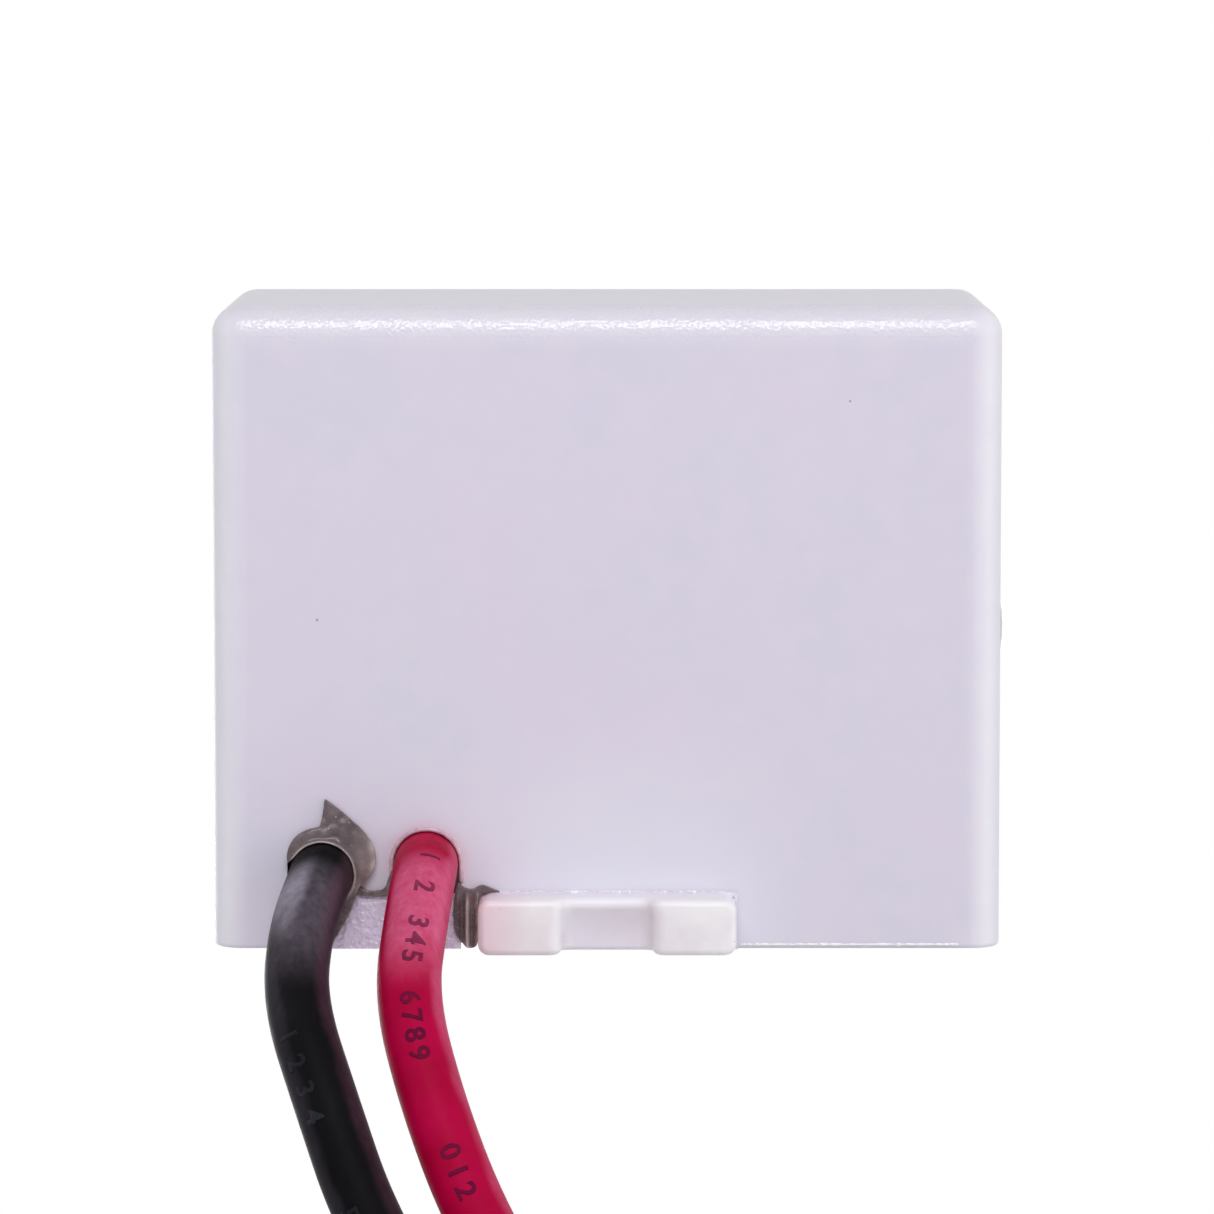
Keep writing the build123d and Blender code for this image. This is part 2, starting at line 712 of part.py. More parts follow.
def arc_radii(points):
    """Radius at each corner: 0.45 of the shorter run over the tangent of half the turn."""
    radii = []
    for before, corner, after in zip(points, points[1:], points[2:]):
        run_in = Vector(*corner) - Vector(*before)
        run_out = Vector(*after) - Vector(*corner)
        half_turn = radians(run_in.get_angle(run_out)) / 2
        radii.append(0.45 * min(run_in.length, run_out.length) / tan(half_turn))
    return radii


for colour, exit_x, exit_z, route in (("black", black_lead_x, black_lead_z, black_route),
                                      ("red", red_lead_x, red_lead_z, red_route)):
    points = [(exit_x + right, front_y - forward, exit_z + up) for right, forward, up in route]
    radii = arc_radii(points)
    print(colour, "lead radii", [round(radius, 1) for radius in radii])

    with BuildPart() as free_lead:
        with BuildLine() as centre_line:
            FilletPolyline(*points, radius=radii)
        with BuildSketch(Plane(origin=centre_line.line @ 0, z_dir=centre_line.line % 0)):
            Circle(lead_diameter / 2)
        sweep(path=centre_line.line)
    write(free_lead, f"{colour}_lead")
    length = centre_line.wire().length
    section = pi * lead_diameter ** 2 / 4
    print(colour, "lead length", round(length, 2), "volume over section x length",
          round(free_lead.part.volume / (section * length), 5))

    with BuildPart() as lead_tip:
        with BuildSketch(Plane(origin=centre_line.line @ 1, z_dir=centre_line.line % 1)):
            Circle(conductor_diameter / 2)
        extrude(amount=tip_length)
        fillet(lead_tip.faces().sort_by(Axis.Z)[0].edges(), radius=tip_edge_radius)
    write(lead_tip, f"{colour}_lead_tip")
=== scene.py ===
import json
import math

import bmesh
import bpy
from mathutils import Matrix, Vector, noise


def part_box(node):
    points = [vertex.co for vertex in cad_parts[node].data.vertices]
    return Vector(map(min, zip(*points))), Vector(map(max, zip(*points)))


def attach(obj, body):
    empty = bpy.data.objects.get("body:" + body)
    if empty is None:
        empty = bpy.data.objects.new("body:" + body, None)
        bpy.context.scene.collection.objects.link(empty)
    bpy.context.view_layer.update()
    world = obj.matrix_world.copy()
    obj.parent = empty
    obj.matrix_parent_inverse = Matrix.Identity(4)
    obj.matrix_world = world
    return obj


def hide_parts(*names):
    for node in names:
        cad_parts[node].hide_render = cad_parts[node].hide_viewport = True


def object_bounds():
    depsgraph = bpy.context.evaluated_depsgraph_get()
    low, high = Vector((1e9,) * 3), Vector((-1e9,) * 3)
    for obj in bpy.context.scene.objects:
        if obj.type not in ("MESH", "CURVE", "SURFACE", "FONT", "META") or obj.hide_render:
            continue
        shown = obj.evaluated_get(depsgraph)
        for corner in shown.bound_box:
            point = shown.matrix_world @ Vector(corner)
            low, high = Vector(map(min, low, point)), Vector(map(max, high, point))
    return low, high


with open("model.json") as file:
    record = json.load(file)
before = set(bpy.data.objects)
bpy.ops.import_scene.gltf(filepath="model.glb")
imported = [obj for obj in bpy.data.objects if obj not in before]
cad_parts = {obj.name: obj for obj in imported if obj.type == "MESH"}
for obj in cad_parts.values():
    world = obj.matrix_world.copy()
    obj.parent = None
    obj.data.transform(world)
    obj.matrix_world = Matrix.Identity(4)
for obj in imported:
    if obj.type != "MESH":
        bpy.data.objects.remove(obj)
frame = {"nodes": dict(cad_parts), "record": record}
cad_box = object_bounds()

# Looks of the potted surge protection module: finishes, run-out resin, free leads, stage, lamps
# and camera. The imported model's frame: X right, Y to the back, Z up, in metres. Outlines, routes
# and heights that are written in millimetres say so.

MM = 0.001

# ---------------------------------------------------------------- places taken from the frame

shell_low, shell_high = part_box("housing_shell")
cover_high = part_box("base_cover")[1]
glue_low, glue_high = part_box("foot_glue_line")
black_low, black_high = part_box("black_lead_held_end")
red_low, red_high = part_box("red_lead_held_end")
conductor_low, conductor_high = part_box("black_lead_conductor")

HALF_WIDTH = (shell_high.x - shell_low.x) / 2
FRONT_Y = shell_low.y
BASE_Z = shell_low.z
TOP_Z = shell_high.z
FOOT_LEFT = glue_low.x
FOOT_RIGHT = glue_high.x
FOOT_MIDDLE = (FOOT_LEFT + FOOT_RIGHT) / 2
FOOT_TOP_Z = cover_high.z

LEAD_DIAMETER = round(black_high.x - black_low.x, 6)
LEAD_RADIUS = LEAD_DIAMETER / 2
CONDUCTOR_DIAMETER = conductor_high.x - conductor_low.x
BLACK_EXIT = Vector(((black_low.x + black_high.x) / 2, FRONT_Y, (black_low.z + black_high.z) / 2))
RED_EXIT = Vector(((red_low.x + red_high.x) / 2, FRONT_Y, (red_low.z + red_high.z) / 2))

# ---------------------------------------------------------------- camera

CAMERA_HEIGHT = 28.0412 * MM
CAMERA_DISTANCE = 295.1474 * MM
CAMERA_PITCH = math.radians(5.5455)
SENSOR_WIDTH = 36.0
LENS = 193.41


def add_camera():
    data = bpy.data.cameras.new("camera")
    data.sensor_fit = "HORIZONTAL"
    data.sensor_width = SENSOR_WIDTH
    data.lens = LENS
    data.clip_start = 0.01
    data.clip_end = 20.0
    camera = bpy.data.objects.new("camera", data)
    camera.location = (0.0, -CAMERA_DISTANCE, CAMERA_HEIGHT)
    camera.rotation_euler = (math.pi / 2 - CAMERA_PITCH, 0.0, 0.0)
    bpy.context.scene.collection.objects.link(camera)
    bpy.context.scene.camera = camera


# ---------------------------------------------------------------- node helpers


class Nodes:
    """Short calls for one material's or the world's node tree."""

    def __init__(self, tree):
        self.tree = tree

    def add(self, kind, **settings):
        node = self.tree.nodes.new(kind)
        for name, value in settings.items():
            setattr(node, name, value)
        return node

    def link(self, source, target):
        self.tree.links.new(source, target)

    def value(self, target, source):
        """Puts a number or another node's output on a socket."""
        if isinstance(source, bpy.types.NodeSocket):
            self.link(source, target)
        else:
            target.default_value = source

    def place(self):
        return self.add("ShaderNodeTexCoord").outputs["Object"]

    def axes(self, vector):
        node = self.add("ShaderNodeSeparateXYZ")
        self.link(vector, node.inputs[0])
        return node.outputs["X"], node.outputs["Y"], node.outputs["Z"]

    def stretched(self, scale):
        """The object's own coordinates, scaled along each axis."""
        node = self.add("ShaderNodeMapping")
        node.inputs["Scale"].default_value = scale
        self.link(self.place(), node.inputs["Vector"])
        return node.outputs["Vector"]

    def noise(self, scale, detail=3.0, roughness=0.55, vector=None, distortion=0.0):
        node = self.add("ShaderNodeTexNoise")
        node.inputs["Scale"].default_value = scale
        node.inputs["Detail"].default_value = detail
        node.inputs["Roughness"].default_value = roughness
        node.inputs["Distortion"].default_value = distortion
        self.link(vector or self.place(), node.inputs["Vector"])
        return node.outputs["Fac"]

    def cells(self, scale):
        """Distance to the nearest of the points scattered one to a cell."""
        node = self.add("ShaderNodeTexVoronoi")
        node.inputs["Scale"].default_value = scale
        self.link(self.place(), node.inputs["Vector"])
        return node.outputs["Distance"]

    def ramp(self, source, stops):
        node = self.add("ShaderNodeValToRGB")
        ramp = node.color_ramp
        while len(ramp.elements) < len(stops):
            ramp.elements.new(0.5)
        for element, (position, colour) in zip(ramp.elements, stops):
            element.position = position
            element.color = (*colour, 1.0)
        self.link(source, node.inputs["Fac"])
        return node.outputs["Color"]

    def span(self, source, from_low, from_high, to_low=0.0, to_high=1.0, smooth=False):
        node = self.add("ShaderNodeMapRange")
        if smooth:
            node.interpolation_type = "SMOOTHSTEP"
        for name, number in (("From Min", from_low), ("From Max", from_high),
                             ("To Min", to_low), ("To Max", to_high)):
            node.inputs[name].default_value = number
        self.link(source, node.inputs["Value"])
        return node.outputs["Result"]

    def math(self, operation, a, b=0.0):
        node = self.add("ShaderNodeMath", operation=operation)
        self.value(node.inputs[0], a)
        self.value(node.inputs[1], b)
        return node.outputs["Value"]

    def times(self, a, b):
        return self.math("MULTIPLY", a, b)

    def away(self, coordinate, place):
        """Distance from a place along one axis."""
        return self.math("ABSOLUTE", self.math("SUBTRACT", coordinate, place))

    def mix(self, factor, a, b):
        node = self.add("ShaderNodeMix", data_type="RGBA")
        self.value(node.inputs["Factor"], factor)
        for name, colour in (("A", a), ("B", b)):
            socket = [s for s in node.inputs if s.name == name and s.type == "RGBA"][0]
            if isinstance(colour, bpy.types.NodeSocket):
                self.link(colour, socket)
            else:
                socket.default_value = (*colour, 1.0)
        return [s for s in node.outputs if s.type == "RGBA"][0]

    def seen(self):
        """1 for what the camera, a reflection or clear plastic shows; 0 for light on the object."""
        path = self.add("ShaderNodeLightPath")
        shown = self.math("MAXIMUM", path.outputs["Is Camera Ray"], path.outputs["Is Glossy Ray"])
        return self.math("MAXIMUM", shown, path.outputs["Is Transmission Ray"])

    def bump(self, height, strength, distance, normal=None):
        node = self.add("ShaderNodeBump")
        node.inputs["Strength"].default_value = strength
        node.inputs["Distance"].default_value = distance
        self.link(height, node.inputs["Height"])
        if normal is not None:
            self.link(normal, node.inputs["Normal"])
        return node.outputs["Normal"]


def srgb(red, green, blue):
    """Linear colour of an 8-bit screen colour."""
    def channel(c):
        c = c / 255
        return c / 12.92 if c <= 0.04045 else ((c + 0.055) / 1.055) ** 2.4
    return channel(red), channel(green), channel(blue)


def new_material(name):
    material = bpy.data.materials.new(name)
    material.use_nodes = True
    material.node_tree.nodes.clear()
    nodes = Nodes(material.node_tree)
    shader = nodes.add("ShaderNodeBsdfPrincipled")
    output = nodes.add("ShaderNodeOutputMaterial")
    nodes.link(shader.outputs["BSDF"], output.inputs["Surface"])
    return material, nodes, shader.inputs


def soften(s, weight, depth, radius=(1.0, 0.85, 0.9)):
    """Light that enters the plastic and comes out again up to about depth away."""
    s["Subsurface Weight"].default_value = weight
    s["Subsurface Radius"].default_value = radius
    s["Subsurface Scale"].default_value = depth


# ---------------------------------------------------------------- materials

# Where the shell's painted light and pits fade in, as distances in from its outline
FRONT_FADE = (1.3 * MM, 0.3 * MM)
SIDE_LIGHT_FADE = (1.7 * MM, 0.5 * MM)
CROWN_LIGHT_FADE = (2.0 * MM, 0.9 * MM)
PIT_FRONT_FADE = (1.0 * MM, 0.5 * MM)
PIT_TOP_FADE = (1.6 * MM, 1.2 * MM)
PIT_SIDE_FADE = (0.9 * MM, 1.6 * MM)
# Reach and height of the painted light over the foot
PAINTED_GLOW_REACH = 11.0 * MM    # how far the paler patch over the foot reaches to each side
PAINTED_GLOW_HEIGHT = 12.0 * MM
RED_BOUNCE_FADE = (0.1 * MM, 0.7 * MM)    # the painted pink bounce light round the red lead, out from its surface


def housing_plastic():
    """White moulded plastic with a lavender cast, pitted along the top edge, with painted light on its
    edges and over the foot and painted pink bounce light round the red lead.
    """
    material, n, s = new_material("housing_plastic")
    x, y, z = n.axes(n.place())
    cloud = n.noise(130.0, detail=4.0)
    mottle = n.noise(700.0, detail=2.0)
    base = n.ramp(cloud, [(0.35, srgb(224, 216, 233)), (0.65, srgb(220, 216, 232))])
    base = n.mix(n.span(mottle, 0.4, 0.65, 0.0, 0.3), base, srgb(228, 219, 232))

    # Painted light: paler on the front wall over the foot
    front = n.span(y, FRONT_Y + FRONT_FADE[0], FRONT_Y + FRONT_FADE[1], smooth=True)
    painted_glow_across = n.span(n.away(x, FOOT_MIDDLE), 0.0, PAINTED_GLOW_REACH, 1.0, 0.0, smooth=True)
    painted_glow_up = n.span(z, BASE_Z, BASE_Z + PAINTED_GLOW_HEIGHT, 1.0, 0.0, smooth=True)
    base = n.mix(n.times(n.times(painted_glow_across, painted_glow_up), front), base, srgb(232, 231, 243))

    # Painted light: paler down the sides and over the top
    from_middle = n.math("ABSOLUTE", x)
    side = n.span(from_middle, HALF_WIDTH - SIDE_LIGHT_FADE[0], HALF_WIDTH - SIDE_LIGHT_FADE[1], smooth=True)
    crown = n.span(z, TOP_Z - CROWN_LIGHT_FADE[0], TOP_Z - CROWN_LIGHT_FADE[1], smooth=True)
    edge = n.math("MAXIMUM", side, n.times(crown, n.span(front, 0.0, 1.0, 0.8, 0.6)))
    base = n.mix(n.times(edge, n.span(mottle, 0.3, 0.7, 0.75, 0.9)), base, srgb(239, 237, 244))

    # Painted pink bounce light of the red lead round its slot
    across = n.math("POWER", n.math("SUBTRACT", x, RED_EXIT.x), 2.0)
    up = n.math("POWER", n.math("SUBTRACT", z, RED_EXIT.z), 2.0)
    from_red = n.math("SQRT", n.math("ADD", across, up))
    red_bounce_on_wall = n.span(from_red, LEAD_RADIUS + RED_BOUNCE_FADE[0], LEAD_RADIUS + RED_BOUNCE_FADE[1], 0.35, 0.0,
                    smooth=True)
    base = n.mix(n.times(red_bounce_on_wall, front), base, srgb(228, 176, 198))

    # A few dark specks
    speck = n.math("LESS_THAN", n.cells(420.0), 0.03)
    rare = n.math("GREATER_THAN", n.noise(210.0, detail=0.0), 0.6)
    n.link(n.mix(n.times(speck, rare), base, srgb(170, 166, 180)), s["Base Color"])

    # Pitted and glossy along the rounded top edge at the front
    rounded = n.times(n.span(y, FRONT_Y + PIT_FRONT_FADE[0], FRONT_Y + PIT_FRONT_FADE[1], smooth=True),
                      n.span(z, TOP_Z - PIT_TOP_FADE[0], TOP_Z - PIT_TOP_FADE[1]))
    rounded = n.times(rounded, n.span(from_middle, HALF_WIDTH - PIT_SIDE_FADE[0],
                                      HALF_WIDTH - PIT_SIDE_FADE[1]))
    grain = n.noise(9000.0, detail=2.0)
    n.link(n.math("ADD", n.span(rounded, 0.0, 1.0, 0.44, 0.13), n.span(grain, 0.3, 0.7, -0.04, 0.04)),
           s["Roughness"])
    pits = n.noise(7600.0, detail=0.6, roughness=0.4)
    n.link(n.bump(n.times(pits, n.span(rounded, 0.0, 1.0, 0.05, 1.0)), 1.0, 0.03 * MM), s["Normal"])
    soften(s, 0.2, 0.6 * MM)
    return material


TONGUE_FADE = (0.5 * MM, 1.0 * MM)    # left of the foot
# Where the painted light in the notch fades in
NOTCH_FADE = (2.4 * MM, 1.2 * MM)     # each side of the foot's middle
NOTCH_RISE = (2.3 * MM, 1.2 * MM)     # above the base
# Reach of the painted pink bounce light at the foot's left end
RED_BOUNCE_REACH = 2.6 * MM                # right of the foot's left end


def cover_plastic():
    """Whiter, slightly translucent plastic of the closing piece, frosted on its tongue."""
    material, n, s = new_material("cover_plastic")
    x, _, z = n.axes(n.place())
    cloud = n.noise(330.0, detail=4.0)
    base = n.ramp(cloud, [(0.32, srgb(238, 233, 238)), (0.62, srgb(250, 247, 250))])

    # Painted light: paler lavender in the notch between the lugs, lifting the shade there
    notch = n.times(n.span(n.away(x, FOOT_MIDDLE), *NOTCH_FADE, 0.0, 0.8, smooth=True),
                    n.span(z, BASE_Z + NOTCH_RISE[0], BASE_Z + NOTCH_RISE[1], 0.5, 1.0, smooth=True))
    base = n.mix(notch, base, srgb(247, 241, 255))

    # Painted pink bounce light of the red lead at the foot's left end
    red_bounce_on_foot = n.span(x, FOOT_LEFT, FOOT_LEFT + RED_BOUNCE_REACH, 0.7, 0.0, smooth=True)
    base = n.mix(n.times(red_bounce_on_foot, n.span(cloud, 0.3, 0.7, 0.7, 1.0)), base, srgb(238, 202, 217))

    # Lavender frost on the tongue, and a few specks on the foot
    frost = n.noise(5600.0, detail=0.5, roughness=0.5)
    tongue = n.span(x, FOOT_LEFT - TONGUE_FADE[0], FOOT_LEFT - TONGUE_FADE[1])
    base = n.mix(n.times(tongue, n.span(frost, 0.35, 0.6, 0.85, 1.0)), base, srgb(236, 225, 253))
    speck = n.times(n.math("LESS_THAN", n.cells(900.0), 0.04), n.math("SUBTRACT", 1.0, tongue))
    n.link(n.mix(n.times(speck, 0.5), base, srgb(170, 146, 166)), s["Base Color"])

    n.link(n.span(tongue, 0.0, 1.0, 0.40, 0.10), s["Roughness"])
    waves = n.bump(n.noise(600.0, detail=1.0), 0.15, 0.05 * MM)
    frosted = n.times(frost, n.span(tongue, 0.0, 1.0, 0.006, 1.0))
    n.link(n.bump(frosted, 1.0, 0.16 * MM, waves), s["Normal"])
    s["Specular IOR Level"].default_value = 0.6
    soften(s, 0.12, 0.6 * MM, (0.9, 0.9, 1.0))
    return material


def potting_resin():
    """Cured grey-brown resin: glossy, paler where it is thinner, with painted highlights along the
    leaf's lip and the gap resin's ridge, and with specks and tiny bubbles.
    """
    material, n, s = new_material("potting_resin")
    thinness_and_painted_highlight = n.add("ShaderNodeAttribute", attribute_name="thinness_and_painted_highlight").outputs["Fac"]
    cloud = n.noise(650.0, detail=4.0)
    tone = n.math("ADD", n.times(cloud, 0.6), n.times(thinness_and_painted_highlight, 0.6))
    base = n.ramp(tone, [(0.2, srgb(68, 54, 57)), (0.42, srgb(99, 84, 88)),
                         (0.7, srgb(130, 114, 117)), (1.0, srgb(204, 192, 190))])
    speck = n.math("LESS_THAN", n.cells(2600.0), 0.10)
    n.link(n.mix(n.times(speck, 0.5), base, srgb(206, 196, 196)), s["Base Color"])
    grain = n.noise(4200.0, detail=3.0)
    n.link(n.span(grain, 0.3, 0.7, 0.14, 0.42), s["Roughness"])
    waves = n.bump(n.noise(1300.0, detail=2.0), 0.6, 0.05 * MM)
    n.link(n.bump(grain, 0.5, 0.02 * MM, waves), s["Normal"])
    soften(s, 0.25, 0.5 * MM, (1.0, 0.8, 0.75))
    return material


# Heights above the base, in millimetres, between which the painted sheen on a lead sets in
NEAR_CASE = (-0.6, 1.9)
NEAR_SLOT = (0.9, 3.0)
# Painted sheen of the softbox on the upper sides near the case; on the black lead also a painted
# reflection of the red lead down its right side and of the light down its left; on the red lead a
# painted highlight down its right side
BLACK_PAINTED_SHEEN = [
    ((0.10, -0.55, 0.82), 0.20, 0.70, 0.72, NEAR_CASE, srgb(106, 96, 108)),
    ((-0.60, -0.20, 0.77), 0.66, 0.95, 0.95, NEAR_SLOT, srgb(158, 151, 167)),
    ((0.96, -0.25, 0.10), 0.66, 0.98, 0.48, None, srgb(104, 70, 88)),
    ((-0.85, -0.50, 0.15), 0.85, 1.0, 0.22, None, srgb(100, 92, 104)),
]
RED_PAINTED_SHEEN = [
    ((0.10, -0.50, 0.86), 0.35, 0.72, 0.90, NEAR_CASE, srgb(220, 102, 142)),
    ((0.95, -0.25, 0.20), 0.80, 1.0, 0.58, None, srgb(220, 104, 144)),
]
RED_INK_PAINTED_SHEEN = [((0.10, -0.50, 0.86), 0.35, 0.72, 0.80, NEAR_CASE, srgb(150, 62, 96))]
# Where the painted sheen near the case fades in, and how the painted sheen all along a lead weakens far
# down
CLEAR_OF_SLOT = (2.0 * MM, 4.2 * MM)    # in front of the wall
FAR_FADE = (26.0 * MM, 9.0 * MM)        # below the base


def insulation(name, tone, second_tone, lobes):
    """Extruded vinyl of two close tones, with painted sheen and painted reflections on the sides that
    face the lobes' directions.

    A lobe is a direction, the cosines between which the painted sheen grows to its share, that share,
    the heights between which it sets in (None: all along the lead, weaker far down), and its colour.
    """
    material, n, s = new_material(name)
    _, y, z = n.axes(n.place())
    cloud = n.noise(420.0, detail=3.0)
    colour = n.ramp(cloud, [(0.35, second_tone), (0.65, tone)])
    normal = n.add("ShaderNodeNewGeometry").outputs["Normal"]
    outside = n.span(y, FRONT_Y - CLEAR_OF_SLOT[0], FRONT_Y - CLEAR_OF_SLOT[1], smooth=True)
    far = n.span(z, BASE_Z - FAR_FADE[0], BASE_Z - FAR_FADE[1], 0.35, 1.0, smooth=True)
    scuff = n.noise(2600.0, detail=4.0, roughness=0.65, vector=n.stretched((1.0, 1.0, 0.35)))
    patch = n.span(n.noise(300.0, detail=2.0), 0.3, 0.7, -0.07, 0.07)
    for direction, low, high, share, heights, sheen_colour in lobes:
        toward = n.add("ShaderNodeVectorMath", operation="DOT_PRODUCT")
        n.link(normal, toward.inputs[0])
        toward.inputs[1].default_value = Vector(direction).normalized()
        facing = n.math("ADD", toward.outputs["Value"], patch)
        painted_sheen = n.span(facing, low, high, 0.0, share, smooth=True)
        painted_sheen = n.times(painted_sheen, n.span(scuff, 0.3, 0.7, 0.55, 1.0))
        if heights is None:
            painted_sheen = n.times(painted_sheen, far)
        else:
            bottom, top = heights
            near = n.span(z, BASE_Z + bottom * MM, BASE_Z + top * MM, 0.03, 1.0, smooth=True)
            painted_sheen = n.times(painted_sheen, n.times(near, outside))
        colour = n.mix(painted_sheen, colour, sheen_colour)
    n.link(colour, s["Base Color"])
    n.link(n.span(scuff, 0.3, 0.7, 0.38, 0.52), s["Roughness"])
    fine = n.noise(6000.0, detail=2.0)
    n.link(n.bump(fine, 0.25, 0.006 * MM), s["Normal"])
    s["Specular IOR Level"].default_value = 0.03
    return material


def lens_plastic():
    """Smoked grey-green plastic, clear and polished, with faint flow lines."""
    material, n, s = new_material("lens_plastic")
    flow = n.noise(500.0, detail=2.0, distortion=1.5)
    n.link(n.ramp(flow, [(0.3, srgb(84, 98, 88)), (0.7, srgb(104, 118, 106))]), s["Base Color"])
    n.link(n.span(flow, 0.3, 0.7, 0.05, 0.09), s["Roughness"])
    n.link(n.bump(flow, 0.1, 0.02 * MM), s["Normal"])
    s["Transmission Weight"].default_value = 0.45
    s["IOR"].default_value = 1.49
    s["Coat Weight"].default_value = 0.5
    s["Coat Roughness"].default_value = 0.04
    return material


GRAIN_RELIEF = 0.01 * MM

# Two tones and the roughness, then 1.0 for a metal, and the grain's scale where it isn't the usual
SPECKLED = {
    # clear_glue is painted nearly white: painted glints on the glue bead over the foot and on the flash
    # along the front rim
    "clear_glue": (srgb(249, 249, 251), (1.0, 1.0, 1.0), 0.1),
    "set_glue": (srgb(224, 218, 234), srgb(232, 226, 240), 0.25),
    # Painted pink bounce light of the red lead, for the lip round its slot
    "glue_painted_red_bounce": (srgb(196, 160, 176), srgb(222, 194, 206), 0.2),
    "led_resin": (srgb(200, 60, 50), srgb(220, 90, 70), 0.15),
    "tinned_metal": (srgb(196, 194, 188), srgb(214, 212, 206), 0.28, 1.0, 500.0),
    "resistor_coating": (srgb(196, 170, 124), srgb(214, 190, 144), 0.35),
    "diode_body": (srgb(24, 24, 26), srgb(38, 38, 40), 0.5),
    "board_laminate": (srgb(28, 92, 50), srgb(40, 112, 62), 0.4),
    "copper": (srgb(190, 112, 78), srgb(212, 136, 98), 0.35, 1.0),
    "solder": (srgb(176, 176, 174), srgb(206, 206, 204), 0.35, 1.0),
    "fuse_body": (srgb(214, 210, 196), srgb(230, 226, 214), 0.35),
    "varistor_ceramic": (srgb(58, 58, 62), srgb(76, 76, 80), 0.7),
    "electrode_silver": (srgb(196, 196, 194), srgb(218, 218, 216), 0.45, 1.0),
    "varistor_coating": (srgb(28, 66, 140), srgb(40, 84, 164), 0.4),
}

# Two tones and the painted sheen and reflections of each lead and of its numbers' ink
INSULATION = {
    "black_insulation": (srgb(14, 13, 15), srgb(9, 9, 11), BLACK_PAINTED_SHEEN),
    "black_lead_ink": (srgb(44, 47, 54), srgb(22, 22, 25), BLACK_PAINTED_SHEEN[1:]),
    "red_insulation": (srgb(184, 0, 64), srgb(168, 0, 52), RED_PAINTED_SHEEN),
    "red_lead_ink": (srgb(98, 12, 52), srgb(122, 16, 60), RED_INK_PAINTED_SHEEN),
}


def speckled(name, low, high, roughness, metallic=0.0, scale=1500.0):
    """Two tones of one colour in fine grains."""
    material, n, s = new_material(name)
    grain = n.noise(scale, detail=3.0)
    n.link(n.ramp(grain, [(0.35, low), (0.65, high)]), s["Base Color"])
    n.link(n.span(grain, 0.3, 0.7, roughness - 0.06, roughness + 0.06), s["Roughness"])
    n.link(n.bump(grain, 0.3, GRAIN_RELIEF), s["Normal"])
    s["Metallic"].default_value = metallic
    return material


def finishes():
    """A material for each slot of the record, for the inks, for set glue, and for glue painted pink
    with the red lead's bounced light.
    """
    made = {
        "housing_plastic": housing_plastic(),
        "cover_plastic": cover_plastic(),
        "potting_resin": potting_resin(),
        "lens_plastic": lens_plastic(),
    }
    for name, look in SPECKLED.items():
        made[name] = speckled(name, *look)
    for name, look in INSULATION.items():
        made[name] = insulation(name, *look)
    return made


# ---------------------------------------------------------------- mesh helpers


def dress(piece, material):
    piece.data.materials.clear()
    piece.data.materials.append(material)


def link_mesh(name, mesh):
    for polygon in mesh.polygons:
        polygon.use_smooth = True
    piece = bpy.data.objects.new(name, mesh)
    bpy.context.scene.collection.objects.link(piece)
    return piece


def mesh_from(build, name):
    mesh = bpy.data.meshes.new(name)
    build.to_mesh(mesh)
    build.free()
    return mesh


def skin(build, rings):
    """Joins rings of vertices into a tube that is closed at both ends."""
    for near, far in zip(rings, rings[1:]):
        for step in range(len(near)):
            after = (step + 1) % len(near)
            build.faces.new((near[step], near[after], far[after], far[step]))
    build.faces.new(rings[0][::-1])
    build.faces.new(rings[-1])


def clamped(number):
    return min(max(number, 0.0), 1.0)


def evaluated_mesh(piece):
    """The piece's mesh with its curve settings and modifiers worked in; the piece itself is deleted."""
    bpy.context.scene.collection.objects.link(piece)
    bpy.context.view_layer.update()
    graph = bpy.context.evaluated_depsgraph_get()
    mesh = bpy.data.meshes.new_from_object(piece.evaluated_get(graph))
    bpy.data.objects.remove(piece)
    return mesh


# Handle types of an outline's points
CORNER = "VECTOR"
ROUND = "AUTO"
# Millimetres, as all lengths are in the outlines and reliefs below
RESIN_EDGE = 0.08
RESIN_VOXEL = 0.035


def resin_sheet(name, outline, thickness, relief):
    """Resin on the front wall inside an outline of (x, z, kind) points in millimetres.

    relief(x, z) gives the height over the wall and the resin's tone there, from 0 to 1: higher where it
    is thinner and where highlights are painted.
    """
    curve = bpy.data.curves.new(name, "CURVE")
    curve.dimensions = "2D"
    curve.fill_mode = "BOTH"
    curve.resolution_u = 8
    curve.extrude = thickness / 2 - RESIN_EDGE
    curve.bevel_depth = RESIN_EDGE
    curve.bevel_resolution = 3
    curve.offset = -RESIN_EDGE
    spline = curve.splines.new("BEZIER")
    spline.bezier_points.add(len(outline) - 1)
    for point, (x, z, kind) in zip(spline.bezier_points, outline):
        point.co = (x, z, 0.0)
        point.handle_left_type = point.handle_right_type = kind
    spline.use_cyclic_u = True
    flat = evaluated_mesh(bpy.data.objects.new(name, curve))
    block = bpy.data.objects.new(name, flat)
    remesh = block.modifiers.new("remesh", "REMESH")
    remesh.mode = "VOXEL"
    remesh.voxel_size = RESIN_VOXEL
    smooth = block.modifiers.new("smooth", "SMOOTH")
    smooth.factor = 0.5
    smooth.iterations = 4
    mesh = evaluated_mesh(block)
    thinness_and_painted_highlight = mesh.attributes.new("thinness_and_painted_highlight", "FLOAT", "POINT")
    for vertex, value in zip(mesh.vertices, thinness_and_painted_highlight.data):
        x, z, out = vertex.co
        share = (out + thickness / 2) / thickness
        height, value.value = relief(x, z)
        vertex.co = (x * MM, FRONT_Y - share * height * MM, BASE_Z + z * MM)
    mesh.flip_normals()
    return link_mesh(name, mesh)


def bump_at(x, centre, width):
    """A smooth hump of height 1."""
    return math.exp(-((x - centre) / width) ** 2)


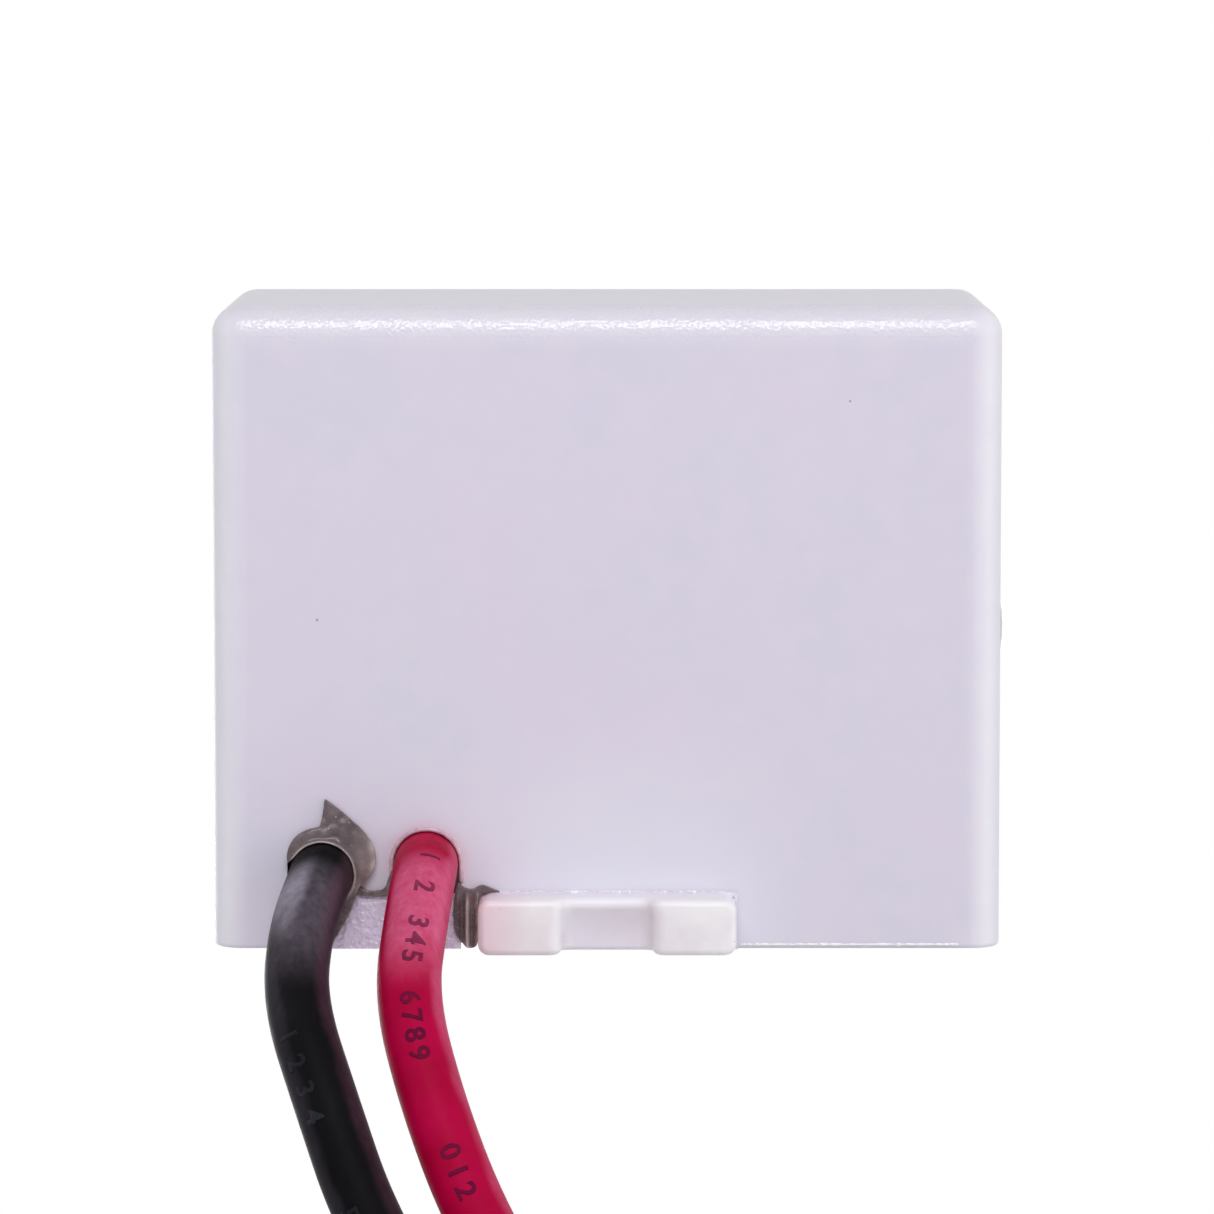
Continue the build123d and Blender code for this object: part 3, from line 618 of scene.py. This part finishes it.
def ripple_at(x, z, seed, scale):
    """Smooth unevenness, roughly from -1 to 1."""
    return noise.noise(Vector((x, z, seed)) * scale)


# ---------------------------------------------------------------- resin that has run out

BLACK_X = BLACK_EXIT.x / MM
BLACK_RISE = (BLACK_EXIT.z - BASE_Z) / MM
LEAD_EDGE = LEAD_RADIUS / MM

# The leaf's outer edge from its tip down its right side to its toe: right of the lead, above the base
LEAF_RIGHT = [
    (0.13, 6.55, CORNER), (0.62, 6.20, ROUND), (1.25, 5.66, ROUND), (1.90, 5.02, ROUND),
    (2.30, 4.25, ROUND), (2.28, 3.60, ROUND), (1.98, 3.08, ROUND), (1.62, 2.74, ROUND),
    (1.45, 2.20, ROUND), (1.20, 1.60, ROUND), (0.85, 0.95, ROUND), (0.35, 0.12, CORNER),
    (-0.10, 0.45, CORNER),
]
# Round the lead, as angles, and then the crescent over it back to the tip
LEAF_LIP_ANGLES = (-95, -60, -25, 10, 45, 80, 115, 145)
LEAF_CRESCENT = [
    (-1.47, 3.78, CORNER), (-1.50, 4.10, ROUND), (-1.30, 4.70, ROUND), (-0.83, 5.12, ROUND),
    (-0.08, 5.34, CORNER), (0.04, 5.85, ROUND),
]
LEAF_THICKNESS = 0.6
LEAF_HEIGHT = 0.62    # beside the lead
LEAF_FALL = 0.36      # from there to the outer edge
LEAF_SLOPE = 1.5      # the width of that slope
LEAF_LIP = 0.10


def leaf_relief(x, z):
    """Thick at the lead with a raised lip, thinning to the outer edge; palest at the lower right, with
    a painted highlight along the lip.
    """
    from_lead = math.hypot(x - BLACK_X, z - BLACK_RISE) - LEAD_EDGE
    ripple = ripple_at(x, z, 3.0, 2.2)
    height = (LEAF_HEIGHT - LEAF_FALL * clamped(from_lead / LEAF_SLOPE)
              + LEAF_LIP * bump_at(from_lead, 0.05, 0.10) + 0.07 * ripple)
    low_right = clamped((x - BLACK_X - 0.7) / 1.8) * clamped((6.0 - z) / 1.5)
    # Tone: paler at the lower right, with a painted highlight along the lip next to the lead
    pale_and_painted_highlight = 0.12 + 0.95 * low_right + 0.2 * ripple + 1.1 * bump_at(from_lead, 0.06, 0.05)
    return height, clamped(pale_and_painted_highlight)


def leaf_outline():
    lip = []
    for angle in LEAF_LIP_ANGLES:
        turn = math.radians(angle)
        lip.append((LEAD_EDGE * math.cos(turn), BLACK_RISE + LEAD_EDGE * math.sin(turn), ROUND))
    return [(BLACK_X + right, up, kind) for right, up, kind in LEAF_RIGHT + lip + LEAF_CRESCENT]


# Along the tongue's upper edge between the leads: x, above the base
SEAM_OUTLINE = [
    (-10.85, 2.95, CORNER), (-10.45, 2.62, ROUND), (-9.98, 2.55, ROUND), (-9.62, 2.66, ROUND),
    (-9.45, 3.05, ROUND), (-9.28, 3.50, CORNER), (-9.12, 3.20, CORNER), (-9.12, 2.34, CORNER),
    (-9.90, 2.28, ROUND), (-10.85, 2.34, CORNER),
]
SEAM_THICKNESS = 0.3


def seam_relief(x, z):
    ripple = ripple_at(x, z, 7.0, 2.6)
    return 0.20 + 0.05 * ripple, 0.35 + 0.3 * ripple


# Between the red lead and the foot, and over the foot's top left corner: x, above the base
GAP_OUTLINE = [
    (-6.42, 2.95, CORNER), (-6.24, 2.76, ROUND), (-6.00, 2.64, ROUND), (-5.72, 2.66, ROUND),
    (-5.42, 2.80, ROUND), (-5.14, 2.73, ROUND), (-4.86, 2.60, ROUND), (-4.55, 2.50, CORNER),
    (-5.05, 2.44, ROUND), (-5.46, 2.34, CORNER), (-5.54, 2.04, ROUND), (-5.56, 1.20, ROUND),
    (-5.58, 0.40, ROUND), (-5.68, 0.12, ROUND), (-6.00, 0.06, ROUND), (-6.24, 0.26, ROUND),
    (-6.50, 0.60, ROUND), (-6.62, 1.25, ROUND), (-6.60, 2.10, ROUND), (-6.52, 2.70, ROUND),
]
GAP_THICKNESS = 0.4
GAP_RIDGE_X = -6.06
GAP_FOOT_X = -5.58


def gap_relief(x, z):
    """Two shallow grooves with a ridge between them, climbing at the foot; nearly flat over its top;
    painted highlights along the ridge and the climb.
    """
    column = clamped((2.5 - z) / 0.5)
    ripple = ripple_at(x, z, 11.0, 2.0)
    ridge = 0.22 * bump_at(x, GAP_RIDGE_X, 0.11) + 0.30 * bump_at(x, GAP_FOOT_X, 0.13)
    edge = 0.14 * bump_at(x, GAP_RIDGE_X - 0.42, 0.14)
    height = 0.10 + 0.08 * (1.0 - column) + column * (ridge + edge) + 0.03 * ripple
    # Painted highlights along the ridge and where the resin climbs at the foot
    pale_and_painted_highlight = 0.9 * bump_at(x, GAP_RIDGE_X + 0.04, 0.10) + 0.5 * bump_at(x, GAP_FOOT_X, 0.2)
    return height, 0.3 + column * pale_and_painted_highlight + 0.2 * ripple


def add_resin(resin):
    for name, outline, thickness, relief, node in (
            ("black_lead_resin_leaf", leaf_outline(), LEAF_THICKNESS, leaf_relief, "black_lead_seal"),
            ("tongue_seam_resin", SEAM_OUTLINE, SEAM_THICKNESS, seam_relief, "tongue_seam_seal"),
            ("foot_gap_resin", GAP_OUTLINE, GAP_THICKNESS, gap_relief, "cover_gap_seal")):
        piece = resin_sheet(name, outline, thickness, relief)
        dress(piece, resin)
        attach(piece, "root")
        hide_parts(node)


# ---------------------------------------------------------------- beads and lips along seams

BEAD_SIDES = 10
BEAD_STEP = 0.06 * MM
# A bead's thickness as shares of its radius: the thinnest, the middling, and the swing about that
BEAD_LEAST = 0.12
BEAD_MEAN = 0.75
BEAD_SWING = 0.6
SLOW_WANDER = 0.31    # steps through the noise for each ring
QUICK_WANDER = 0.9
QUICK_SHARE = 0.6


def bead(name, points, radius, seed, wobble):
    """Thin bead along a line; its thickness wanders by a share of wobble."""
    build = bmesh.new()
    rings = []
    for index, point in enumerate(points):
        ahead = points[min(index + 1, len(points) - 1)]
        behind = points[max(index - 1, 0)]
        along = (ahead - behind).normalized()
        side = along.cross(Vector((0.0, 1.0, 0.0))).normalized()
        out = side.cross(along)
        wander = (noise.noise(Vector((index * SLOW_WANDER, seed, 0.0)))
                  + QUICK_SHARE * noise.noise(Vector((index * QUICK_WANDER, seed, 5.0))))
        thick = radius * max(BEAD_LEAST, BEAD_MEAN + BEAD_SWING * wobble * wander)
        ring = []
        for step in range(BEAD_SIDES):
            turn = 2 * math.pi * step / BEAD_SIDES
            ring.append(build.verts.new(point + thick * (math.cos(turn) * side + math.sin(turn) * out)))
        rings.append(ring)
    skin(build, rings)
    bmesh.ops.recalc_face_normals(build, faces=build.faces)
    return link_mesh(name, mesh_from(build, name))


def straight(start, end):
    count = max(2, round((end - start).length / BEAD_STEP))
    return [start.lerp(end, index / count) for index in range(count + 1)]


def arch(centre, radius, foot_z):
    """Up one side of a slot, round its top and down the other side."""
    left = Vector((centre.x - radius, centre.y, foot_z))
    right = Vector((centre.x + radius, centre.y, foot_z))
    turn_count = round(math.pi * radius / BEAD_STEP)
    crown = []
    for index in range(1, turn_count):
        turn = math.pi * (1 - index / turn_count)
        crown.append(centre + Vector((radius * math.cos(turn), 0.0, radius * math.sin(turn))))
    return (straight(left, centre + Vector((-radius, 0.0, 0.0))) + crown
            + straight(centre + Vector((radius, 0.0, 0.0)), right))


BEAD_PROUD = 0.02 * MM     # how far the foot's beads stand before the wall, and the rim's behind it
GLUE_START = 0.9 * MM      # right of the foot's left end
GLUE_END = 0.5 * MM        # short of its right end, where its corner turns down
GLUE_RISE = 0.06 * MM      # above the foot's top
FILL_INSET = 0.09 * MM     # the corner fill's bend, in from the foot's right end
FILL_SINK = 0.05 * MM      # and below its top
FILL_RUN = 0.45 * MM       # the fill's length along the top
FILL_DROP = 0.3 * MM       # and down the end
RIM_RISE = 0.19 * MM       # above the base
RIM_START = 0.1 * MM       # right of the foot
RIM_END = 1.8 * MM         # short of the right wall
LIP_GAP = 0.13 * MM        # out from the red lead
LIP_FOOT = 0.5 * MM        # above the foot's top


def add_beads(materials):
    """Glue over the foot and in its right corner, flash on the front rim, a lip round the red slot."""
    bead_y = FRONT_Y - BEAD_PROUD
    glue_z = FOOT_TOP_Z + GLUE_RISE
    glue_line = straight(Vector((FOOT_LEFT + GLUE_START, bead_y, glue_z)),
                         Vector((FOOT_RIGHT - GLUE_END, bead_y, glue_z)))
    elbow = Vector((FOOT_RIGHT - FILL_INSET, bead_y, FOOT_TOP_Z - FILL_SINK))
    fill_line = (straight(elbow - Vector((FILL_RUN, 0.0, 0.0)), elbow)
                 + straight(elbow, elbow - Vector((0.0, 0.0, FILL_DROP)))[1:])
    rim_y, rim_z = FRONT_Y + BEAD_PROUD, BASE_Z + RIM_RISE
    rim_line = straight(Vector((FOOT_RIGHT + RIM_START, rim_y, rim_z)),
                        Vector((HALF_WIDTH - RIM_END, rim_y, rim_z)))
    lip_line = arch(RED_EXIT, LEAD_RADIUS + LIP_GAP, FOOT_TOP_Z + LIP_FOOT)
    # The clear_glue beads' near-white colour paints their glints
    for name, line, radius, seed, wobble, finish in (
            ("foot_glue_bead", glue_line, 0.07 * MM, 1.7, 1.5, "clear_glue"),
            ("foot_corner_fill", fill_line, 0.14 * MM, 2.6, 0.2, "set_glue"),
            ("front_rim_flash", rim_line, 0.07 * MM, 4.2, 1.4, "clear_glue"),
            ("red_slot_lip", lip_line, 0.13 * MM, 8.1, 0.25, "glue_painted_red_bounce")):
        piece = bead(name, line, radius, seed, wobble)
        dress(piece, materials[finish])
        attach(piece, "root")


# ---------------------------------------------------------------- free leads

# Centre lines from each exit, in millimetres: to the right, forward and up
RED_ROUTE = [
    (0.0, 0.0, 0.0),
    (0.0, 1.9, 0.0),
    (-0.3, 4.5, -1.7),
    (-0.7, 7.2, -4.7),
    (0.5, 9.9, -8.7),
    (2.3, 11.8, -13.1),
    (5.3, 12.8, -18.1),
    (7.2, 12.9, -26.0),
    (7.4, 12.3, -38.0),
    (6.5, 11.6, -56.0),
    (6.9, 11.3, -78.0),
    (7.9, 11.6, -102.0),
    (7.9, 12.2, -122.0),
    (7.3, 12.4, -135.4),
]
BLACK_ROUTE = [
    (0.0, 0.0, 0.0),
    (0.0, 1.9, 0.0),
    (-0.7, 4.5, -1.7),
    (-0.9, 7.2, -4.5),
    (0.6, 9.9, -8.4),
    (2.2, 11.8, -12.7),
    (5.2, 12.8, -17.7),
    (6.8, 13.1, -25.5),
    (6.7, 12.8, -37.0),
    (5.7, 12.3, -54.0),
    (5.2, 12.4, -76.0),
    (5.9, 12.9, -100.0),
    (6.8, 12.8, -121.0),
    (7.1, 12.3, -135.2),
]


def route_curve(name, exit_point, route):
    curve = bpy.data.curves.new(name, "CURVE")
    curve.dimensions = "3D"
    curve.resolution_u = 16
    spline = curve.splines.new("NURBS")
    spline.points.add(len(route) - 1)
    for point, (right, forward, up) in zip(spline.points, route):
        place = exit_point + Vector((right, -forward, up)) * MM
        point.co = (*place, 1.0)
    spline.order_u = 3
    spline.use_endpoint_u = True
    return curve


def free_lead(name, exit_point, route):
    curve = route_curve(name, exit_point, route)
    curve.bevel_depth = LEAD_RADIUS
    curve.bevel_resolution = 12
    curve.use_fill_caps = True
    lead = bpy.data.objects.new(name, curve)
    bpy.context.scene.collection.objects.link(lead)
    return lead


def centre_line(exit_point, route):
    """Points of the lead's own line, with the length from the exit to each."""
    mesh = evaluated_mesh(bpy.data.objects.new("line", route_curve("line", exit_point, route)))
    points = [vertex.co.copy() for vertex in mesh.vertices]
    bpy.data.meshes.remove(mesh)
    reach = [0.0]
    for before, after in zip(points, points[1:]):
        reach.append(reach[-1] + (after - before).length)
    return points, reach


def at_reach(line, wanted):
    """Place and direction at a length along the line."""
    points, reach = line
    index = 1
    while index < len(reach) - 1 and reach[index] < wanted:
        index += 1
    before, after = points[index - 1], points[index]
    share = (wanted - reach[index - 1]) / (reach[index] - reach[index - 1])
    return before.lerp(after, share), (after - before).normalized()


# ---------------------------------------------------------------- plain numbers along the leads

# Digits in counting order, as groups that start at these lengths from the exit, and their step
BLACK_NUMBERS = [(10.8 * MM, "1234"), (18.6 * MM, "567")]
BLACK_STEP = 1.2 * MM
RED_NUMBERS = [(2.5 * MM, "1"), (4.2 * MM, "2"), (6.0 * MM, "345"), (9.6 * MM, "6789"),
               (16.4 * MM, "012")]
RED_STEP = 0.84 * MM
NUMBERS_TURN = {"black": -0.4, "red": 0.1}    # radians round the lead, from its front

MARK_HEIGHT = 0.85 * MM
MARK_LIFT = 0.012 * MM
MARK_DEPTH = 0.04 * MM
MARK_STROKE = 0.022    # added to each side of a stroke, as a share of the letter size
MARK_SLICES = 12
MARK_WELD = 1e-5       # points of a digit that are nearer than this are one
DIGIT_SHARE = 0.7      # a digit's height as a share of the letter size
FLAT_HALF = 0.1        # half the thickness of a digit before it is bent round the lead


def digit_mesh(text):
    """Solid digit, sliced so that it can bend round a lead."""
    curve = bpy.data.curves.new("digit", "FONT")
    curve.body = text
    curve.align_x = "CENTER"
    curve.resolution_u = 4
    curve.offset = MARK_STROKE
    curve.extrude = FLAT_HALF
    mesh = evaluated_mesh(bpy.data.objects.new("digit", curve))
    build = bmesh.new()
    build.from_mesh(mesh)
    bpy.data.meshes.remove(mesh)
    bmesh.ops.remove_doubles(build, verts=build.verts, dist=MARK_WELD)
    for axis in (Vector((1.0, 0.0, 0.0)), Vector((0.0, 1.0, 0.0))):
        for step in range(-MARK_SLICES, MARK_SLICES + 1):
            bmesh.ops.bisect_plane(build, geom=build.verts[:] + build.edges[:] + build.faces[:],
                                   plane_co=axis * step / MARK_SLICES, plane_no=axis)
    return build


def lead_marks(name, line, numbers, step, turned):
    """Digits that follow the lead and read downwards; each group starts at its own length."""
    merged = bmesh.new()
    outside = LEAD_RADIUS + MARK_LIFT
    for start, text in numbers:
        for index, character in enumerate(text):
            digit = digit_mesh(character)
            for vertex in digit.verts:
                across = (vertex.co.y - DIGIT_SHARE / 2) * MARK_HEIGHT / DIGIT_SHARE
                along = start + index * step + vertex.co.x * MARK_HEIGHT / DIGIT_SHARE
                place, direction = at_reach(line, along)
                side = direction.cross(Vector((0.0, 1.0, 0.0))).normalized()
                out = side.cross(direction)
                if out.y > 0:
                    out = -out
                if side.x < 0:
                    side = -side
                angle = across / LEAD_RADIUS + turned
                radius = outside if vertex.co.z > 0 else outside - MARK_DEPTH
                vertex.co = place + radius * (math.cos(angle) * out + math.sin(angle) * side)
            bmesh.ops.recalc_face_normals(digit, faces=digit.faces)
            mesh = mesh_from(digit, "digit")
            merged.from_mesh(mesh)
            bpy.data.meshes.remove(mesh)
    return link_mesh(name, mesh_from(merged, name))


# ---------------------------------------------------------------- stripped and tinned ends

STRAND_COUNT = 12
STRAND_SIDES = 10
STRAND_LAY = 17.0 * MM    # the length in which a strand goes once round
STRAND_STEPS = 40
STRAND_NEAR = 0.01        # share of the length to each side, for a strand's direction
END_RADIUS = 0.35         # a strand's radius at its far end, as a share
END_GROWTH = 0.5          # and how much of it comes back with each step from there
CORE_SIDES = 24
CORE_OVERLAP = 0.7        # how far the core reaches into the strands, as a share of a strand's radius
TIP_INSET = 0.25 * MM


def tip_strands(name, node, line):
    """Twisted outer strands over a core, in the space of the plain tip."""
    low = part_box(node)[0]
    start, direction = at_reach(line, line[1][-1])
    length = (start.z - low.z) / abs(direction.z) - TIP_INSET
    side = direction.cross(Vector((0.0, 1.0, 0.0))).normalized()
    out = direction.cross(side)
    outer = CONDUCTOR_DIAMETER / 2
    half_angle = math.pi / STRAND_COUNT
    strand = outer * math.sin(half_angle) / (1 + math.sin(half_angle))
    ring_radius = outer - strand
    build = bmesh.new()

    def tube(radius, centre_at, sides):
        rings = []
        for step in range(STRAND_STEPS + 1):
            share = step / STRAND_STEPS
            ahead = centre_at(min(share + STRAND_NEAR, 1.0)) - centre_at(max(share - STRAND_NEAR, 0.0))
            across = ahead.cross(side).normalized()
            up = ahead.cross(across).normalized()
            tapered = radius * min(1.0, END_RADIUS + (STRAND_STEPS - step) * END_GROWTH)
            ring = []
            for k in range(sides):
                turn = 2 * math.pi * k / sides
                ring.append(build.verts.new(
                    centre_at(share) + tapered * (math.cos(turn) * across + math.sin(turn) * up)))
            rings.append(ring)
        skin(build, rings)

    def core_at(share):
        return start + direction * length * share

    tube(ring_radius - (1.0 - CORE_OVERLAP) * strand, core_at, CORE_SIDES)
    for index in range(STRAND_COUNT):
        def strand_at(share, index=index):
            turn = 2 * math.pi * (index / STRAND_COUNT + share * length / STRAND_LAY)
            return core_at(share) + ring_radius * (math.cos(turn) * side + math.sin(turn) * out)
        tube(strand, strand_at, STRAND_SIDES)
    bmesh.ops.recalc_face_normals(build, faces=build.faces)
    return link_mesh(name, mesh_from(build, name))


def add_leads(materials):
    for colour, exit_point, route, numbers, step in (
            ("black", BLACK_EXIT, BLACK_ROUTE, BLACK_NUMBERS, BLACK_STEP),
            ("red", RED_EXIT, RED_ROUTE, RED_NUMBERS, RED_STEP)):
        lead = free_lead(f"{colour}_free_lead", exit_point, route)
        dress(lead, materials[f"{colour}_insulation"])
        line = centre_line(exit_point, route)
        marks = lead_marks(f"{colour}_lead_numbers", line, numbers, step, NUMBERS_TURN[colour])
        dress(marks, materials[f"{colour}_lead_ink"])
        strands = tip_strands(f"{colour}_lead_strands", f"{colour}_lead_tip", line)
        dress(strands, materials["tinned_metal"])
        for piece in (lead, marks, strands):
            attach(piece, "root")
        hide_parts(f"{colour}_lead")
        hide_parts(f"{colour}_lead_tip")


# ---------------------------------------------------------------- stage and light


def add_world():
    """Even light, weaker from above where the softbox is; a white backdrop to cameras and gloss."""
    world = bpy.data.worlds.new("world")
    world.use_nodes = True
    bpy.context.scene.world = world
    world.node_tree.nodes.clear()
    n = Nodes(world.node_tree)
    height = n.axes(n.add("ShaderNodeTexCoord").outputs["Generated"])[2]
    light = n.add("ShaderNodeBackground")
    light.inputs["Color"].default_value = (0.98, 0.98, 1.0, 1.0)
    n.link(n.span(height, -0.2, 0.8, 0.90, 0.25), light.inputs["Strength"])
    backdrop = n.add("ShaderNodeBackground")
    backdrop.inputs["Color"].default_value = (1.0, 1.0, 1.0, 1.0)
    backdrop.inputs["Strength"].default_value = 1.0
    mixed = n.add("ShaderNodeMixShader")
    n.link(n.seen(), mixed.inputs[0])
    n.link(light.outputs[0], mixed.inputs[1])
    n.link(backdrop.outputs[0], mixed.inputs[2])
    output = n.add("ShaderNodeOutputWorld")
    n.link(mixed.outputs[0], output.inputs["Surface"])


OBJECT_MIDDLE = Vector((0.0, -0.008, 0.0))

# Place, width and height, and brightness where 1 is white paper
LAMPS = {
    "softbox": ((0.0, -0.32, 0.285), (0.26, 0.13), 7.0),
    "right_side": ((0.37, -0.12, 0.02), (0.10, 0.30), 2.5),
    "rear": ((-0.12, 0.40, -0.07), (0.40, 0.12), 2.8),
}


def add_lamp(name, place, size, radiance):
    """Rectangular lamp that faces the object and isn't seen by the camera."""
    data = bpy.data.lights.new(name, "AREA")
    data.shape = "RECTANGLE"
    data.size, data.size_y = size
    data.energy = radiance * math.pi * size[0] * size[1]
    lamp = bpy.data.objects.new(name, data)
    lamp.location = place
    lamp.rotation_euler = (OBJECT_MIDDLE - Vector(place)).to_track_quat("-Z", "Y").to_euler()
    lamp.visible_camera = False
    bpy.context.scene.collection.objects.link(lamp)


FLOOR_RADIUS = 0.6
FLOOR_DROP = 6 * MM       # below the leads' ends
FLOOR_TONES = (0.865, 0.875)
FLOOR_WHITENESS = 0.88    # how much of what the camera and gloss see of the floor is plain white


def add_floor():
    build = bmesh.new()
    bmesh.ops.create_circle(build, cap_ends=True, segments=96, radius=FLOOR_RADIUS)
    mesh = mesh_from(build, "floor")
    floor = bpy.data.objects.new("floor", mesh)
    floor.location = (0.0, 0.0, cad_box[0][2] - FLOOR_DROP)
    bpy.context.scene.collection.objects.link(floor)
    material, n, s = new_material("floor")
    low, high = FLOOR_TONES
    n.link(n.ramp(n.noise(60.0), [(0.4, (low, low, low)), (0.6, (high, high, high))]), s["Base Color"])
    s["Roughness"].default_value = 0.8
    s["Specular IOR Level"].default_value = 0.2
    plain = s["Base Color"].node
    white = n.add("ShaderNodeEmission")
    white.inputs["Color"].default_value = (1.0, 1.0, 1.0, 1.0)
    mixed = n.add("ShaderNodeMixShader")
    n.link(n.times(n.seen(), FLOOR_WHITENESS), mixed.inputs[0])
    n.link(plain.outputs["BSDF"], mixed.inputs[1])
    n.link(white.outputs[0], mixed.inputs[2])
    output = [node for node in material.node_tree.nodes if node.type == "OUTPUT_MATERIAL"][0]
    n.link(mixed.outputs[0], output.inputs["Surface"])
    mesh.materials.append(material)


# ---------------------------------------------------------------- the whole scene

add_camera()
materials = finishes()
for entry in frame["record"]["subparts"]:
    dress(frame["nodes"][entry["node"]], materials[entry["material_slot"]])
dress(frame["nodes"]["foot_glue_line"], materials["set_glue"])    # set, so duller
add_resin(materials["potting_resin"])
add_beads(materials)
add_leads(materials)
add_world()
for name, (place, size, radiance) in LAMPS.items():
    add_lamp(name, place, size, radiance)
add_floor()

bpy.context.scene.view_settings.view_transform = "Standard"
